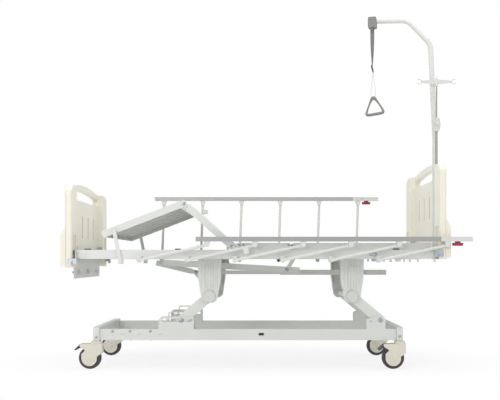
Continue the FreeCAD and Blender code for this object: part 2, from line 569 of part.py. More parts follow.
# Upper frame: side rails, end and cross tubes, crank plate, sockets and the lugs of moving pieces
def build_upper_frame():
    rail_in = "rail_y - rail_wide / 2"
    rail_out = "rail_y + rail_wide / 2"
    end_in = "frame_half - frame_end_wide"
    straight = "frame_half - frame_bend"
    turned = f"({rail_out} - frame_bend)"
    rail = tube("frame_rail", "X", (f"-({straight})", straight), (rail_in, rail_out), ("rail_bottom", "rail_top"))
    corner = plate("frame_corner", "XY", "rail_bottom", "rail_top",
                   [(f"{straight} - 1", rail_in), (f"{straight} - 1", rail_out), ("frame_half", rail_out, "frame_bend"),
                    ("frame_half", f"{turned} - 1"), (end_in, f"{turned} - 1"), (end_in, rail_in, "6")])
    side = [rail, corner, mirrored("frame_corner_foot", corner, (1, 0, 0))]
    for i in range(int(driving["post_count"])):
        x = f"post_first_x + {i} * post_step"
        side.append(plate(f"post_lug_{i + 1}", "XZ", rail_out, "lug_y",
                          [(f"{x} - 12", "post_pivot_z - 12", "11.5"), (f"{x} + 12", "post_pivot_z - 12", "11.5"),
                           (f"{x} + 12", "post_pivot_z + 24"), (f"{x} - 12", "post_pivot_z + 24")]))
        side.append(rod(f"post_pin_{i + 1}", "Y", x, "post_pivot_z", ("lug_y - 1", "post_y + eye_thick / 2 + 3"),
                        "post_pin"))
    side.append(block("support_lug", ("support_x - 13", "support_x + 13"),
                      (f"{rail_out} - 12", "support_y - support_wall / 2 - seat_gap"),
                      ("support_z - 12", "rail_bottom + 8")))
    side.append(rod("support_pin", "Y", "support_x", "support_z",
                    (f"{rail_out} - 6", "support_y + support_wall / 2 + 3"), "hinge_pin"))
    sides = both("frame_sides", fuse("frame_side", *side))
    pieces = [sides]
    for end, sign in (("foot", "-"), ("head", "")):
        span = (f"-frame_half", f"-({end_in})") if end == "foot" else (end_in, "frame_half")
        pieces.append(tube(f"frame_{end}_tube", "Y", span, (f"-{turned}", turned), ("rail_bottom", "rail_top")))
    for number_of, x in enumerate(("foot_shaft_x - 47", "foot_shaft_x + 47", "head_shaft_x - 47",
                                   "head_shaft_x + 47", "-640"), 1):
        pieces.append(tube(f"cross_tube_{number_of}", "Y", (f"{x} - cross_wide / 2", f"{x} + cross_wide / 2"),
                           (f"-({rail_in})", rail_in), ("rail_bottom", "rail_bottom + cross_tall")))
    holes = [["ring", y, "plate_low + 54", "4"] for y in ("-86", "32", "160", "287")]
    cranks = ("-crank_y", "0", "crank_y")
    bores = [["ring", y, "crank_z", "crank_shaft + pin_play"] for y in cranks]
    edge = [("-plate_half", "plate_low", "8"), ("plate_half", "plate_low", "8"),
            ("plate_half", "rail_top - 12"), ("-plate_half", "rail_top - 12")]
    pieces.append(plate("crank_plate", "YZ", "crank_plate_x - plate_wall", "crank_plate_x", edge, *holes, *bores))
    for y in ("-plate_half + 75", "-80", "plate_half - 75"):
        pieces.append(block(f"plate_spacer_{len(pieces)}", ("crank_plate_x - 0.5", "-frame_half + 0.5"),
                            (f"{y} - 15", f"{y} + 15"), ("rail_bottom + 4", "rail_top - 14")))
    for y in cranks:
        collar = rod(f"crank_collar_{len(pieces)}", "X", y, "crank_z", ("crank_plate_x - 1", "crank_plate_x + 9"),
                     "crank_shaft + 6")
        pieces.append(cut(f"crank_collar_bored_{len(pieces)}", collar,
                          rod(f"crank_collar_bore_{len(pieces)}", "X", y, "crank_z",
                              ("crank_plate_x - 5", "crank_plate_x + 11"), "crank_shaft + pin_play")))
    sleeve = rod("trapeze_sleeve", "Z", "pole_x", "trapeze_y", ("trapeze_foot - 12", "trapeze_foot + 48"), "pole_radius + 4")
    web = block("trapeze_web", ("frame_half - 2", "pole_x - 6"), ("trapeze_y - 12", "trapeze_y + 12"),
                ("trapeze_foot - 8", "trapeze_foot + 32"))
    bore = rod("trapeze_bore", "Z", "pole_x", "trapeze_y", ("trapeze_foot", "trapeze_foot + 50"), "pole_radius + pin_play")
    pieces.append(cut("trapeze_socket", fuse("trapeze_socket_solid", sleeve, web), bore))
    sleeve = rod("iv_sleeve", "Z", "pole_x", "iv_y", ("iv_foot - 10", "iv_foot + 42"), "iv_tube_radius + 3")
    web = block("iv_web", ("frame_half - 2", "pole_x - 4"), ("iv_y - 8", "iv_y + 8"), ("iv_foot - 6", "iv_foot + 26"))
    bore = rod("iv_bore", "Z", "pole_x", "iv_y", ("iv_foot", "iv_foot + 44"), "iv_tube_radius")
    pieces.append(cut("iv_socket", fuse("iv_socket_solid", sleeve, web), bore))
    node("upper_frame", fuse("upper_frame_all", *pieces))


# Deck sections: a perforated tray, drawn level from its hinge along +x or -x
def build_section(name, direction, long, place_at, turn, holes, hinge=True, ears=(), horn=None):
    def along(text):
        return text if direction > 0 else f"-({text})"

    nose = "-(hinge_clear - 7)" if hinge else "hinge_clear"
    side = [(along(nose), "flange_low"), (along(long), "flange_low"), (along(long), "hinge_drop"),
            (along(nose), "hinge_drop")]
    if hinge:
        side[0] += ("17",)
        side[3] += ("17",)
    side[1] += ("12",)
    side[2] += ("6",)
    body = solid(f"{name}_tray")
    loops = [side]
    if hinge:
        loops.append(["ring", "0", "0", "hinge_pin + pin_play"])
    slab(body, "XZ", "-deck_half", "deck_half", *loops)
    start = "hinge_clear"
    inner = ("-(deck_half - sheet)", "deck_half - sheet")
    ends = (along(f"{start} + sheet"), along(f"{long} - sheet"))
    hollow(body, "XY", "-60", "hinge_drop - sheet",
           box_loop(ends if direction > 0 else ends[::-1], inner))
    if hinge:
        ends = (along("-hinge_clear"), along(start))
        hollow(body, "XY", "-60", "hinge_drop + 1", box_loop(ends if direction > 0 else ends[::-1], inner))
    reach = (along(f"{start} + 1"), along(f"{long} - 1"))
    reach = reach if direction > 0 else reach[::-1]
    low = "hinge_drop - sheet - rib_deep"
    top = "hinge_drop - sheet + 1"
    ribs = []
    for i in range(6):
        y = f"({i} - 2.5) * rib_step"
        ribs.append([(f"{y} - rib_half", top), (f"{y} - rib_half * 0.6", low), (f"{y} + rib_half * 0.6", low),
                     (f"{y} + rib_half", top)])
    slab(body, "YZ", reach[0], reach[1], *ribs)
    first = along(f"{start} + 50")
    lane = [["ring", first, f"({i} - 2) * rib_step", "deck_hole"] for i in range(5)]
    row_of = hollow(body, "XY", "hinge_drop - sheet - 1", "hinge_drop + 1", *lane)
    pattern = repeat(body, row_of, "X", f"hole_step * ({holes} - 1)", str(holes))
    if direction < 0:
        pattern.Reversed = True
    pieces = [body]
    for x, sign in ears:
        # an ear with a pin at each side carries the next section
        tip = f"{x} + {sign} * 12"
        root = f"{x} - {sign} * 45"
        shoulder = f"{x} - {sign} * hinge_clear"
        ear = plate(f"{name}_ear_{len(pieces)}", "XZ", "ear_out - ear_thick", "ear_out",
                    [(root, "-12", "3"), (tip, "-12", "11.5"), (tip, "12", "11.5"), (shoulder, "12"),
                     (shoulder, "hinge_drop - sheet + 1"), (root, "hinge_drop - sheet + 1")])
        pin = rod(f"{name}_ear_pin_{len(pieces)}", "Y", x, "0", ("ear_out - 1", "deck_half"), "hinge_pin")
        pieces.append(both(f"{name}_ears_{len(pieces)}", fuse(f"{name}_ear_side_{len(pieces)}", ear, pin)))
    if horn:
        horn_x, horn_z, y, root_x, wide = horn
        low_y = f"{y} - {wide} / 2 - seat_gap"
        high_y = f"{y} + {wide} / 2 + seat_gap"
        flank = f"{root_x} + 44" if direction > 0 else f"{root_x} - 44"
        shape = [(root_x, "hinge_drop - sheet + 1"), (root_x, "-20", "10"), (f"{horn_x} - 13", horn_z, "5"),
                 (f"{horn_x} - 11", f"{horn_z} - 13", "6"), (f"{horn_x} + 11", f"{horn_z} - 13", "6"),
                 (f"{horn_x} + 13", horn_z, "5"), (flank, "hinge_drop - sheet + 1")]
        if direction < 0:
            shape = [(root_x, "hinge_drop - sheet + 1"), (root_x, "-20", "10"), (f"{horn_x} + 13", horn_z, "5"),
                     (f"{horn_x} + 11", f"{horn_z} - 13", "6"), (f"{horn_x} - 11", f"{horn_z} - 13", "6"),
                     (f"{horn_x} - 13", horn_z, "5"), (flank, "hinge_drop - sheet + 1")]
        pieces.append(plate(f"{name}_horn_near", "XZ", f"{low_y} - lever_wall", low_y, shape))
        pieces.append(plate(f"{name}_horn_far", "XZ", high_y, f"{high_y} + lever_wall", shape))
        pieces.append(rod(f"{name}_horn_pin", "Y", horn_x, horn_z, (f"{low_y} - lever_wall", f"{high_y} + lever_wall"),
                          "lever_pin"))
    whole = fuse(f"{name}_all", *pieces) if len(pieces) > 1 else body
    node(name, whole, place_at[0], "0", place_at[1], turn)


# Drive tubes of the back and knee sections, hung on the horns
def build_section_drives():
    y = "back_drive_y"
    hole = ["ring", "0", "0", "lever_pin + pin_play"]
    wide = (f"{y} - back_drive_wide / 2", f"{y} + back_drive_wide / 2")
    tall = ("-back_drive_tall / 2", "back_drive_tall / 2")
    back = cut("back_tube_drilled",
               tube("back_tube", "X", ("-back_drive_long", "back_drive_tail"), wide, tall, "jack_wall"),
               rod("back_tube_hole", "Y", "0", "0", (f"{wide[0]} - 1", f"{wide[1]} + 1"), "lever_pin + pin_play"))
    node("back_drive_tube", back, "back_hinge_x + back_horn_x", "0", "hinge_z + back_horn_z", "back_drive_tilt")
    tall = ("-knee_drive_tall / 2", "knee_drive_tall / 2")
    lug = [("-60", "-11"), ("-13", "-13", "10"), ("13", "-13", "12.5"), ("13", "13", "12.5"), ("-60", "11")]
    knee = fuse("knee_tube_all",
                tube("knee_tube", "X", ("-knee_drive_long", "-30"), ("-knee_drive_tall / 2", "knee_drive_tall / 2"),
                     tall, "jack_wall"),
                plate("knee_tube_lug", "XZ", "-lug_thick / 2", "lug_thick / 2", lug, hole))
    horn_x = "knee_horn_x * cos(thigh_angle * 1deg) + knee_horn_z * sin(thigh_angle * 1deg)"
    horn_z = "knee_horn_z * cos(thigh_angle * 1deg) - knee_horn_x * sin(thigh_angle * 1deg)"
    node("knee_drive_tube", knee, f"thigh_hinge_x + {horn_x}", "0", f"hinge_z + {horn_z}")


# Calf support: a pair of flat legs joined by a round cross bar, standing on the frame's pins
def build_calf_support():
    half = "support_half"
    top = "support_long"
    leg = plate("support_leg", "XZ", "support_y - support_wall / 2", "support_y + support_wall / 2",
                [(f"-{half}", f"-{half}", f"{half} * 0.98"), (half, f"-{half}", f"{half} * 0.98"),
                 (half, f"{top} + {half}", f"{half} * 0.98"), (f"-{half}", f"{top} + {half}", f"{half} * 0.98")],
                ["ring", "0", "0", "hinge_pin + pin_play"])
    stud = rod("support_stud", "Y", "0", top, ("deck_half + seat_gap", "support_y"), "hinge_pin + 2")
    legs = both("support_legs", fuse("support_side", leg, stud))
    node("calf_support", legs, "support_x", "0", "support_z", "-support_turn")


# Side rails: six posts on parallel pivots carry one bar, with a sleeve and a release at its head end
def build_rail(side, y, turn):
    hole = "post_pin + pin_play"
    low_eye = [("-eye_radius", "-eye_radius", "eye_radius * 0.9"), ("eye_radius", "-eye_radius", "eye_radius * 0.9"),
               ("post_radius - 1", "neck + 4"), ("-(post_radius - 1)", "neck + 4")]
    top = "post_long + eye_radius"
    high_eye = [("-(post_radius - 1)", "post_long - neck - 4"), ("post_radius - 1", "post_long - neck - 4"),
                ("eye_radius", top, "eye_radius * 0.9"), ("-eye_radius", top, "eye_radius * 0.9")]
    for i in range(int(driving["post_count"])):
        name = f"{side}_rail_post_{i + 1}"
        pieces = [rod(f"{name}_tube", "Z", "0", "0", ("neck", "post_long - neck"), "post_radius"),
                  plate(f"{name}_low", "XZ", "-eye_thick / 2", "eye_thick / 2", low_eye, ["ring", "0", "0", hole]),
                  plate(f"{name}_high", "XZ", "-eye_thick / 2", "eye_thick / 2", high_eye,
                        ["ring", "0", "post_long", hole])]
        if i == 1:
            pieces.append(block(f"{name}_rest", ("4", "36"), ("-7", "7"), ("312", "340")))
        node(name, fuse(f"{name}_all", *pieces), f"post_first_x + {i} * post_step", y, "post_pivot_z", turn)
    x = f"post_first_x + post_long * sin({turn} * 1deg)"
    z = f"post_pivot_z + post_long * cos({turn} * 1deg)"
    half = "rail_bar_wide / 2"
    low = "connector_drop"
    high = "connector_drop + rail_bar_tall"
    end = "rail_bar_long - rail_bar_start"
    sleeve = f"{end} - cap_long"
    inset = "(bar_wall + seat_gap)"
    name = f"{side}_rail_bar"
    pieces = [tube(f"{name}_main", "X", ("-rail_bar_start", sleeve), (f"-{half}", half), (low, high), "bar_wall"),
              tube(f"{name}_core", "X", (f"{sleeve} - 4", f"{end} - {inset}"), (f"-{half} + {inset}", f"{half} - {inset}"),
                   (low, f"{high} - {inset}"), "bar_wall")]
    for i in range(int(driving["post_count"])):
        at = f"{i} * post_step"
        cheek = [(f"{at} - eye_radius", "-eye_radius", "eye_radius * 0.98"),
                 (f"{at} + eye_radius", "-eye_radius", "eye_radius * 0.98"),
                 (f"{at} + eye_radius + 7", f"{low} + 1"), (f"{at} - eye_radius - 7", f"{low} + 1")]
        gap = "eye_thick / 2 + seat_gap"
        pieces.append(plate(f"{name}_cheek_{i}_out", "XZ", gap, f"{half} - {inset}", cheek))
        pieces.append(plate(f"{name}_cheek_{i}_in", "XZ", f"-{half} + {inset}", f"-({gap})", cheek))
        pieces.append(rod(f"{name}_pin_{i}", "Y", at, "0", (f"-{half} + {inset}", f"{half} - {inset}"), "post_pin"))
    stem = (f"{end} - 94", f"{end} - 66")
    window = block(f"{name}_window", (f"{stem[0]} - seat_gap", f"{stem[1]} + seat_gap"), ("-6 - seat_gap", "6 + seat_gap"),
                   (f"{low} - 1", f"{low} + bar_wall + 1"))
    node(name, cut(f"{name}_all", fuse(f"{name}_solid", *pieces), window), x, y, z)
    name = f"{side}_rail_end_cap"
    shell = block(f"{name}_outer", (sleeve, end), (f"-{half}", half), (low, high))
    inner = block(f"{name}_inner", (f"{sleeve} - 1", f"{end} - bar_wall"), (f"-{half} + bar_wall", f"{half} - bar_wall"),
                  (f"{low} - 1", f"{high} - bar_wall"))
    node(name, cut(f"{name}_all", shell, inner), x, y, z)
    name = f"{side}_rail_release"
    grip = plate(f"{name}_grip", "XZ", "-9", "9",
                 [(f"{end} - 109", f"{low} - 8", "2"), (f"{end} - 51", f"{low} - 8", "2"),
                  (f"{end} - 54", f"{low} - 24", "5"), (f"{end} - 106", f"{low} - 24", "5")])
    key = block(f"{name}_stem", stem, ("-6", "6"), (f"{low} - 10", f"{low} + 12"))
    node(name, fuse(f"{name}_all", grip, key), x, y, z)


# End panels, drawn at the head end; the foot panel is a mirrored one with its own heights
def build_panel(name, low, corner, mid_low, mirror):
    half = "panel_half"
    inner = "panel_inner"
    face = "panel_mid_inner"
    body = solid(f"{name}_shell")
    step = "column_inner_y"
    slab(body, "XY", low, f"{corner} + arch_rise",
         [(inner, half, "10"), ("panel_column", half, "16"), ("panel_column", f"{step} + 32"),
          ("panel_outer", f"{step} + 12", "8"), ("panel_outer", f"-({step} + 12)", "8"),
          ("panel_column", f"-({step} + 32)"), ("panel_column", f"-{half}", "16"), (inner, f"-{half}", "10"),
          (inner, f"-{step}", "6"), (face, f"-({step} - 8)", "4"), (face, f"{step} - 8", "4"), (inner, step, "6")])
    around = [(f"-({half} + 40)", f"{low} - 40"), (f"{half} + 40", f"{low} - 40"),
              (f"{half} + 40", f"{corner} + arch_rise + 40"), (f"-({half} + 40)", f"{corner} + arch_rise + 40")]
    edge = [(f"-{half}", low, "22"), (f"-({step} + 14)", low, "22"), (f"-({step} - 34)", mid_low, "30"),
            (f"{step} - 34", mid_low, "30"), (f"{step} + 14", low, "22"), (half, low, "22"),
            (half, corner, "corner_radius"), ("0", f"{corner} + arch_rise", "arch_radius"),
            (f"-{half}", corner, "corner_radius")]
    hollow(body, "YZ", "panel_inner - 5", "panel_outer + 5", around, edge)
    top = f"{corner} - 18"
    grip = [("-grip_half", f"{top} - grip_tall + 14", "18"), ("grip_half", f"{top} - grip_tall + 14", "18"),
            ("grip_half", top, "18"), ("0", f"{top} + 30", "arch_radius"), ("-grip_half", top, "18")]
    hollow(body, "YZ", "panel_inner - 5", "panel_outer + 5", grip)
    grooves = []
    for i in range(4):
        y = f"({i} - 1.5) * groove_step"
        grooves.append([(f"{y} - groove_half", f"{corner} - groove_drop", "5.5"),
                        (f"{y} + groove_half", f"{corner} - groove_drop", "5.5"),
                        (f"{y} + groove_half", f"{corner} - groove_drop + groove_tall", "5.5"),
                        (f"{y} - groove_half", f"{corner} - groove_drop + groove_tall", "5.5")])
    hollow(body, "YZ", f"{face} - 2", f"{face} + groove_deep", *grooves)
    seats = []
    for sign in ("-", ""):
        seats.append(box_loop((f"{sign}405 - 35", f"{sign}405 + 35"), (f"{low} + 72", f"{low} + 182")))
    hollow(body, "YZ", "panel_inner - 5", "panel_inner + 3", *seats)
    foot = plate(f"{name}_foot", "XZ", f"{step} + 8", f"{half} - 3",
                 [("panel_column - 4", f"{low} + 6"), ("panel_outer - 3", f"{low} + 6", "10"),
                  ("panel_outer - 3", f"{low} + 180", "16"), ("panel_column - 4", f"{low} + 222")])
    whole = fuse(f"{name}_all", body, both(f"{name}_feet", foot))
    node(name, mirrored(f"{name}_turned", whole, (1, 0, 0)) if mirror else whole)


# Latches beside the panel columns, and zinc plates that hold the columns from the outside
def build_frame_fittings():
    latches = []
    plates = []
    face = "frame_half"
    at = "column_inner_y - 7.5"
    side = "panel_half + seat_gap"
    for end, top, low, high in (("foot", "foot_low + 105", "rail_bottom - 28", "rail_bottom + 1"),
                                ("head", "head_low + 105", "rail_bottom + 10", "rail_top - 1")):
        base = block(f"{end}_latch_base", (face, f"{face} + 4"), (f"{at} - 4.2", f"{at} + 4.2"),
                     ("rail_bottom + 6", "rail_top - 4"))
        arm = block(f"{end}_latch_arm", (f"{face} + 3", f"{face} + 12"), (f"{at} - 3.5", f"{at} + 3.5"),
                    ("rail_bottom + 16", "rail_bottom + 30"))
        pin = rod(f"{end}_latch_pin", "Z", f"{face} + 12", at, ("rail_bottom + 12", top), "4")
        head = plate(f"{end}_latch_head", "XZ", f"{at} - 7", f"{at} - 1.2",
                     [(f"{face} + 1", f"{top} - 1", "2"), (f"{face} + 30", f"{top} - 1", "2"),
                      (f"{face} + 28", f"{top} + 18", "5"), (f"{face} + 3", f"{top} + 18", "5")])
        latch = fuse(f"{end}_latch", base, arm, pin, head)
        strap = block(f"{end}_plate_strap", (f"{face} - 78", f"{face} - 22"), ("rail_outer", "rail_outer + 3"),
                      ("rail_bottom + 8", "rail_top - 8"))
        web = block(f"{end}_plate_web", (f"{face} - 26", f"{face} - 22"), ("rail_outer", f"{side} + 3"),
                    (low, "rail_top - 8"))
        leaf = plate(f"{end}_plate_leaf", "XZ", side, f"{side} + 3",
                     [(f"{face} - 26", high, "3"), (f"{face} - 26", low, "2"), (f"{face} - 9", low, "2"),
                      (f"{face} - 9", f"{low} + 13", "2"), (f"{face} + 3", f"{low} + 13", "2"),
                      (f"{face} + 3", low, "2"), (f"{face} + 22", low, "4"), (f"{face} + 22", high, "6")])
        bolts = [rod(f"{end}_plate_bolt", "Y", f"{face} - 3", f"{low} + 20", (f"{side} + 2", f"{side} + 5"), "5")]
        for x in (f"{face} - 68", f"{face} - 48"):
            bolts.append(rod(f"{end}_strap_bolt_{len(bolts)}", "Y", x, "rail_bottom + 24",
                             ("rail_outer + 2", "rail_outer + 6"), "6"))
        corner = fuse(f"{end}_plate", strap, web, leaf, *bolts)
        if end == "foot":
            latch = mirrored(f"{end}_latch_at_foot", latch, (1, 0, 0))
            corner = mirrored(f"{end}_plate_at_foot", corner, (1, 0, 0))
        latches += [latch, mirrored(f"{end}_latch_far", latch)]
        plates += [corner, mirrored(f"{end}_plate_far", corner)]
    node("panel_latches", group("latch_set", *latches))
    node("corner_plates", group("corner_plate_set", *plates))


# Cranks at the foot end, each level behind its plate, with the grip folded back along the arm
def build_cranks():
    for name, y in (("crank_back", "-crank_y"), ("crank_height", "0"), ("crank_knee", "crank_y")):
        start = "-plate_wall - 6"
        shaft = rod(f"{name}_shaft", "X", "0", "0", (f"{start} - 8", "7"), "crank_shaft")
        arm = plate(f"{name}_arm", "YZ", f"{start} - 8", start,
                    [("-12", "-12", "11"), ("108", "-10", "9"), ("108", "10", "9"), ("-12", "12", "11")])
        grip = rod(f"{name}_grip", "Y", f"{start} - 19", "0", ("8", "106"), "9.5")
        neck = block(f"{name}_neck", (f"{start} - 19", f"{start} - 5"), ("88", "105"), ("-7", "7"))
        node(name, fuse(f"{name}_all", shaft, arm, grip, neck), "crank_plate_x", y, "crank_z")


# Trapeze: a bent pole that turns in its socket, with a strap and a three-sided grip
def build_trapeze():
    pole = solid("trapeze_pipe")
    route = sketch(pole, "XZ", "0")
    outline(route, [("0", "0"), ("0", "lean_start - trapeze_foot", "300"),
                    ("-lean_x", "lean_end - trapeze_foot", "90"), ("-shoulder_x", "shoulder_z - trapeze_foot", "90"),
                    ("-arm_end_x", "arm_end_z - trapeze_foot")], closed=False)
    end = sketch(pole, "XY", "0")
    ring(end, "0", "0", "pole_radius")
    pipe = pole.newObject("PartDesign::AdditivePipe", "trapeze_sweep")
    pipe.Profile = end
    pipe.Spine = route
    turned = FreeCAD.Rotation(FreeCAD.Vector(0, 0, 1), 1)

    def swung(name, thing, out="0", up="0"):
        # a piece of the pole's own plane, at a distance out along the arm
        node(name, thing, f"pole_x - ({out}) * cos(trapeze_turn * 1deg)",
             f"trapeze_y + ({out}) * sin(trapeze_turn * 1deg)", f"trapeze_foot + {up}")
        thing.Placement.Rotation = turned
        bind(thing, "Placement.Rotation.Angle", "-trapeze_turn * 1deg")

    swung("trapeze_pole", pole)
    half = "block_deep / 2"
    tip = "arm_end_x"
    level = "arm_end_z - trapeze_foot"
    shell = plate("end_block_shell", "XZ", f"-{half}", half,
                  [(f"-({tip} + block_long)", f"{level} - block_tall * 0.7", "6"),
                   (f"-({tip} - 14)", f"{level} - block_tall * 0.7", "6"),
                   (f"-({tip} - 14)", f"{level} + block_tall * 0.36", "8"),
                   (f"-({tip} + block_long)", f"{level} + block_tall * 0.36", "8")])
    # the bore follows the slope of the pole's last length
    slope = "atan((arm_end_z - shoulder_z) / (arm_end_x - shoulder_x))"
    ease = rod("end_block_bore", "X", "0", "0", ("0", "60"), "pole_radius + pin_play")
    bind(ease, "Placement.Rotation.Angle", f"90deg + {slope}")
    place(ease, "-arm_end_x - seat_gap", "0", level)
    pivot = rod("end_block_pin", "Y", f"-({tip} + 11)", f"{level} - block_tall * 0.7 - 8", ("-15", "15"), "4")
    ears = []
    for sign in ("", "-"):
        inner, outer = ("9", "15") if not sign else ("-15", "-9")
        ears.append(plate(f"end_block_ear_{len(ears)}", "XZ", inner, outer,
                          [(f"-({tip} + 20)", f"{level} - block_tall * 0.7 + 2"),
                           (f"-({tip} + 17)", f"{level} - block_tall * 0.7 - 14", "5"),
                           (f"-({tip} + 5)", f"{level} - block_tall * 0.7 - 14", "5"),
                           (f"-({tip} + 2)", f"{level} - block_tall * 0.7 + 2")]))
    swung("trapeze_end_block", cut("end_block_all", fuse("end_block_solid", shell, pivot, *ears), ease))

    hang = "block_tall * 0.7 + 8"
    out = f"{tip} + 11"
    eye = rod("strap_eye", "Y", "0", "0", ("-8.5", "8.5"), "8")
    band = plate("strap_band", "YZ", "-strap_thick / 2 - 5.2", "strap_thick / 2 - 5.2",
                 [("-8.4", "-2"), ("8.4", "-2"), ("4", "-strap_long"), ("-4", "-strap_long")])
    snap = plate("strap_snap", "XZ", "-5", "5",
                 [("-12", "-strap_long + 8", "4"), ("2", "-strap_long + 8", "4"), ("4", "-strap_long - 40", "8"),
                  ("-14", "-strap_long - 40", "8")],
                 ["ring", "-5.2", "-strap_long - 27", "5"])
    hole = rod("strap_eye_clear", "Y", "0", "0", ("-9", "9"), "4 + pin_play")
    swung("trapeze_strap", cut("strap_all", fuse("strap_joined", eye, band, snap), hole), out,
          f"{level} - ({hang})")

    # the grip hangs on two cord legs from a ring through the snap
    body = solid("grip_frame")
    wide = "trapeze_grip_wide / 2"
    tall = "trapeze_grip_tall"
    drop = "loop_long"
    outer = [(f"-{wide}", f"-{drop} - {tall}", "20"), (wide, f"-{drop} - {tall}", "20"),
             ("14", f"-{drop}", "14"), ("-14", f"-{drop}", "14")]
    inner = [(f"-{wide} + 24", f"-{drop} - {tall} + 19", "10"), (f"{wide} - 24", f"-{drop} - {tall} + 19", "10"),
             ("6", f"-{drop} - 24", "8"), ("-6", f"-{drop} - 24", "8")]
    slab(body, "XZ", "-trapeze_grip_thick / 2", "trapeze_grip_thick / 2", outer, inner)
    left = bent_bar("grip_cord_left", "-6.9", [("-8", f"-{drop} - 4"), ("-8", "-70", "20"), ("0", "-44", "20"),
                                               ("0", "0")], "1.6")
    right = bent_bar("grip_cord_right", "6.9", [("8", f"-{drop} - 4"), ("8", "-70", "20"), ("0", "-44", "20"),
                                                ("0", "0")], "1.6")
    eyelet = rod("grip_eyelet", "Y", "0", "0", ("-8.5", "8.5"), "4.9")
    swung("trapeze_grip", fuse("grip_all", body, left, right, eyelet), f"{out} + 5.2",
          f"{level} - ({hang}) - strap_long - 27")


# Infusion pole: outer tube, clamp, and an inner rod that slides with its hooks
def build_iv_pole():
    bore = "iv_rod_radius + pin_play"
    pipe = cut("iv_tube_hollow", rod("iv_tube_outer", "Z", "0", "0", ("iv_foot", "iv_tube_top"), "iv_tube_radius"),
               rod("iv_tube_inner", "Z", "0", "0", ("iv_foot - 1", "iv_tube_top + 1"), bore))
    node("iv_pole_tube", pipe, "pole_x", "iv_y")
    high = "iv_tube_top + iv_clamp_tall"
    clamp = solid("iv_clamp_shell")
    slab(clamp, "XZ", "-13", "13",
         [("-13", "iv_tube_top - 4", "4"), ("13", "iv_tube_top - 4", "4"), ("20", "iv_tube_top + 30", "30"),
          ("14", high, "10"), ("-14", high, "10"), ("-20", "iv_tube_top + 30", "30")])
    seat = rod("iv_clamp_seat", "Z", "0", "0", ("iv_tube_top - 10", "iv_tube_top + pin_play"), "iv_tube_radius + pin_play")
    way = rod("iv_clamp_way", "Z", "0", "0", ("iv_tube_top - 12", f"{high} + 10"), bore)
    knob = rod("iv_clamp_knob", "Y", "0", "iv_tube_top + 40", ("-26", "-12"), "11")
    node("iv_pole_clamp", cut("iv_clamp_all", fuse("iv_clamp_solid", clamp, knob), seat, way), "pole_x", "iv_y")
    node("iv_pole_rod", rod("iv_rod", "Z", "0", "0", ("iv_rod_low", "iv_rod_top"), "iv_rod_radius"),
         "pole_x", "iv_y", "iv_rod_low")
    hub = cut("iv_hub_bored", rod("iv_hub", "Z", "0", "0", ("iv_rod_top - 28", "iv_rod_top + 40"), "11", "5"),
              rod("iv_hub_bore", "Z", "0", "0", ("iv_rod_top - 30", "iv_rod_top + pin_play"), "iv_rod_radius"))
    reach = "iv_hook_reach"
    arm = plate("iv_arm", "XZ", "-3.5", "3.5",
                [("4", "iv_rod_top - 12"), (f"{reach} - 26", "iv_rod_top - 1", "40"),
                 (f"{reach} - 22", "iv_rod_top + 9"), ("4", "iv_rod_top + 12")])
    eye = plate("iv_eye", "XZ", "-3.5", "3.5", ["ring", f"{reach} - 13", "iv_rod_top + 7", "15"],
                ["ring", f"{reach} - 13", "iv_rod_top + 7", "9.5"])
    mouth = block("iv_mouth", (f"{reach} - 15", f"{reach} + 4"), ("-5", "5"), ("iv_rod_top + 12", "iv_rod_top + 26"))
    hook = fuse("iv_hook", arm, cut("iv_eye_open", eye, mouth))
    arms = [hook, mirrored("iv_hook_back", hook, (1, 0, 0))]
    way = rod("iv_hooks_way", "Z", "0", "0", ("iv_rod_top - 30", "iv_rod_top + pin_play"), "iv_rod_radius")
    node("iv_pole_hooks", cut("iv_hooks_all", fuse("iv_hooks_solid", hub, *arms), way), "pole_x", "iv_y")


build_base()
for end, x in (("foot", "base_foot + end_tube_wide / 2"), ("head", "base_head - end_tube_wide / 2")):
    build_castor(f"castor_{end}_near", x, "-stem_y")
    build_castor(f"castor_{end}_far", x, "stem_y")
build_lift("foot_lift_arms", -1, "foot_shaft_x", "-arm_angle", True)
build_lift("head_lift_arms", 1, "head_shaft_x", "arm_angle", False)
build_height_drive()
build_leg_boxes()
build_upper_frame()
build_section("seat_section", 1, "back_hinge_x - thigh_hinge_x - hinge_clear", ("thigh_hinge_x", "hinge_z"), "0", "3",
              hinge=False, ears=(("0", "-1"), ("back_hinge_x - thigh_hinge_x", "1")))
build_section("back_section", 1, "back_long", ("back_hinge_x", "hinge_z"), "0", "7",
              horn=("back_horn_x", "back_horn_z", "back_drive_y", "30", "back_drive_wide"))
build_section("thigh_section", -1, "thigh_long - hinge_clear", ("thigh_hinge_x", "hinge_z"), "thigh_angle", "3",
              ears=(("-thigh_long", "-1"),), horn=("knee_horn_x", "knee_horn_z", "0", "-30", "lug_thick"))
build_section("calf_section", -1, "calf_long", ("knee_x", "knee_z"), "-calf_angle", "4")
build_section_drives()
build_calf_support()
build_rail("near", "-post_y", "post_folded")
build_rail("far", "post_y", "post_lean")
build_panel("foot_panel", "foot_low", "foot_corner", "foot_mid_low", True)
build_panel("head_panel", "head_low", "head_corner", "head_mid_low", False)
build_frame_fittings()
build_cranks()
build_trapeze()
build_iv_pole()
doc.recompute()

faults = [f"{thing.Name}: {thing.State}" for thing in doc.Objects if {"Invalid", "Error"} & set(thing.State)]
for thing in nodes:
    if thing.Shape.isNull() or not thing.Shape.isValid():
        faults.append(f"{thing.Label}: no valid shape")
if faults:
    raise RuntimeError("\n".join(faults))
for thing in nodes:
    thing.Shape.exportStep(f"parts/{thing.Label}.step")
print(f"{len(nodes)} pieces written")
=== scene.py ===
import json
import math
import bmesh
import bpy
from mathutils import Matrix, Vector


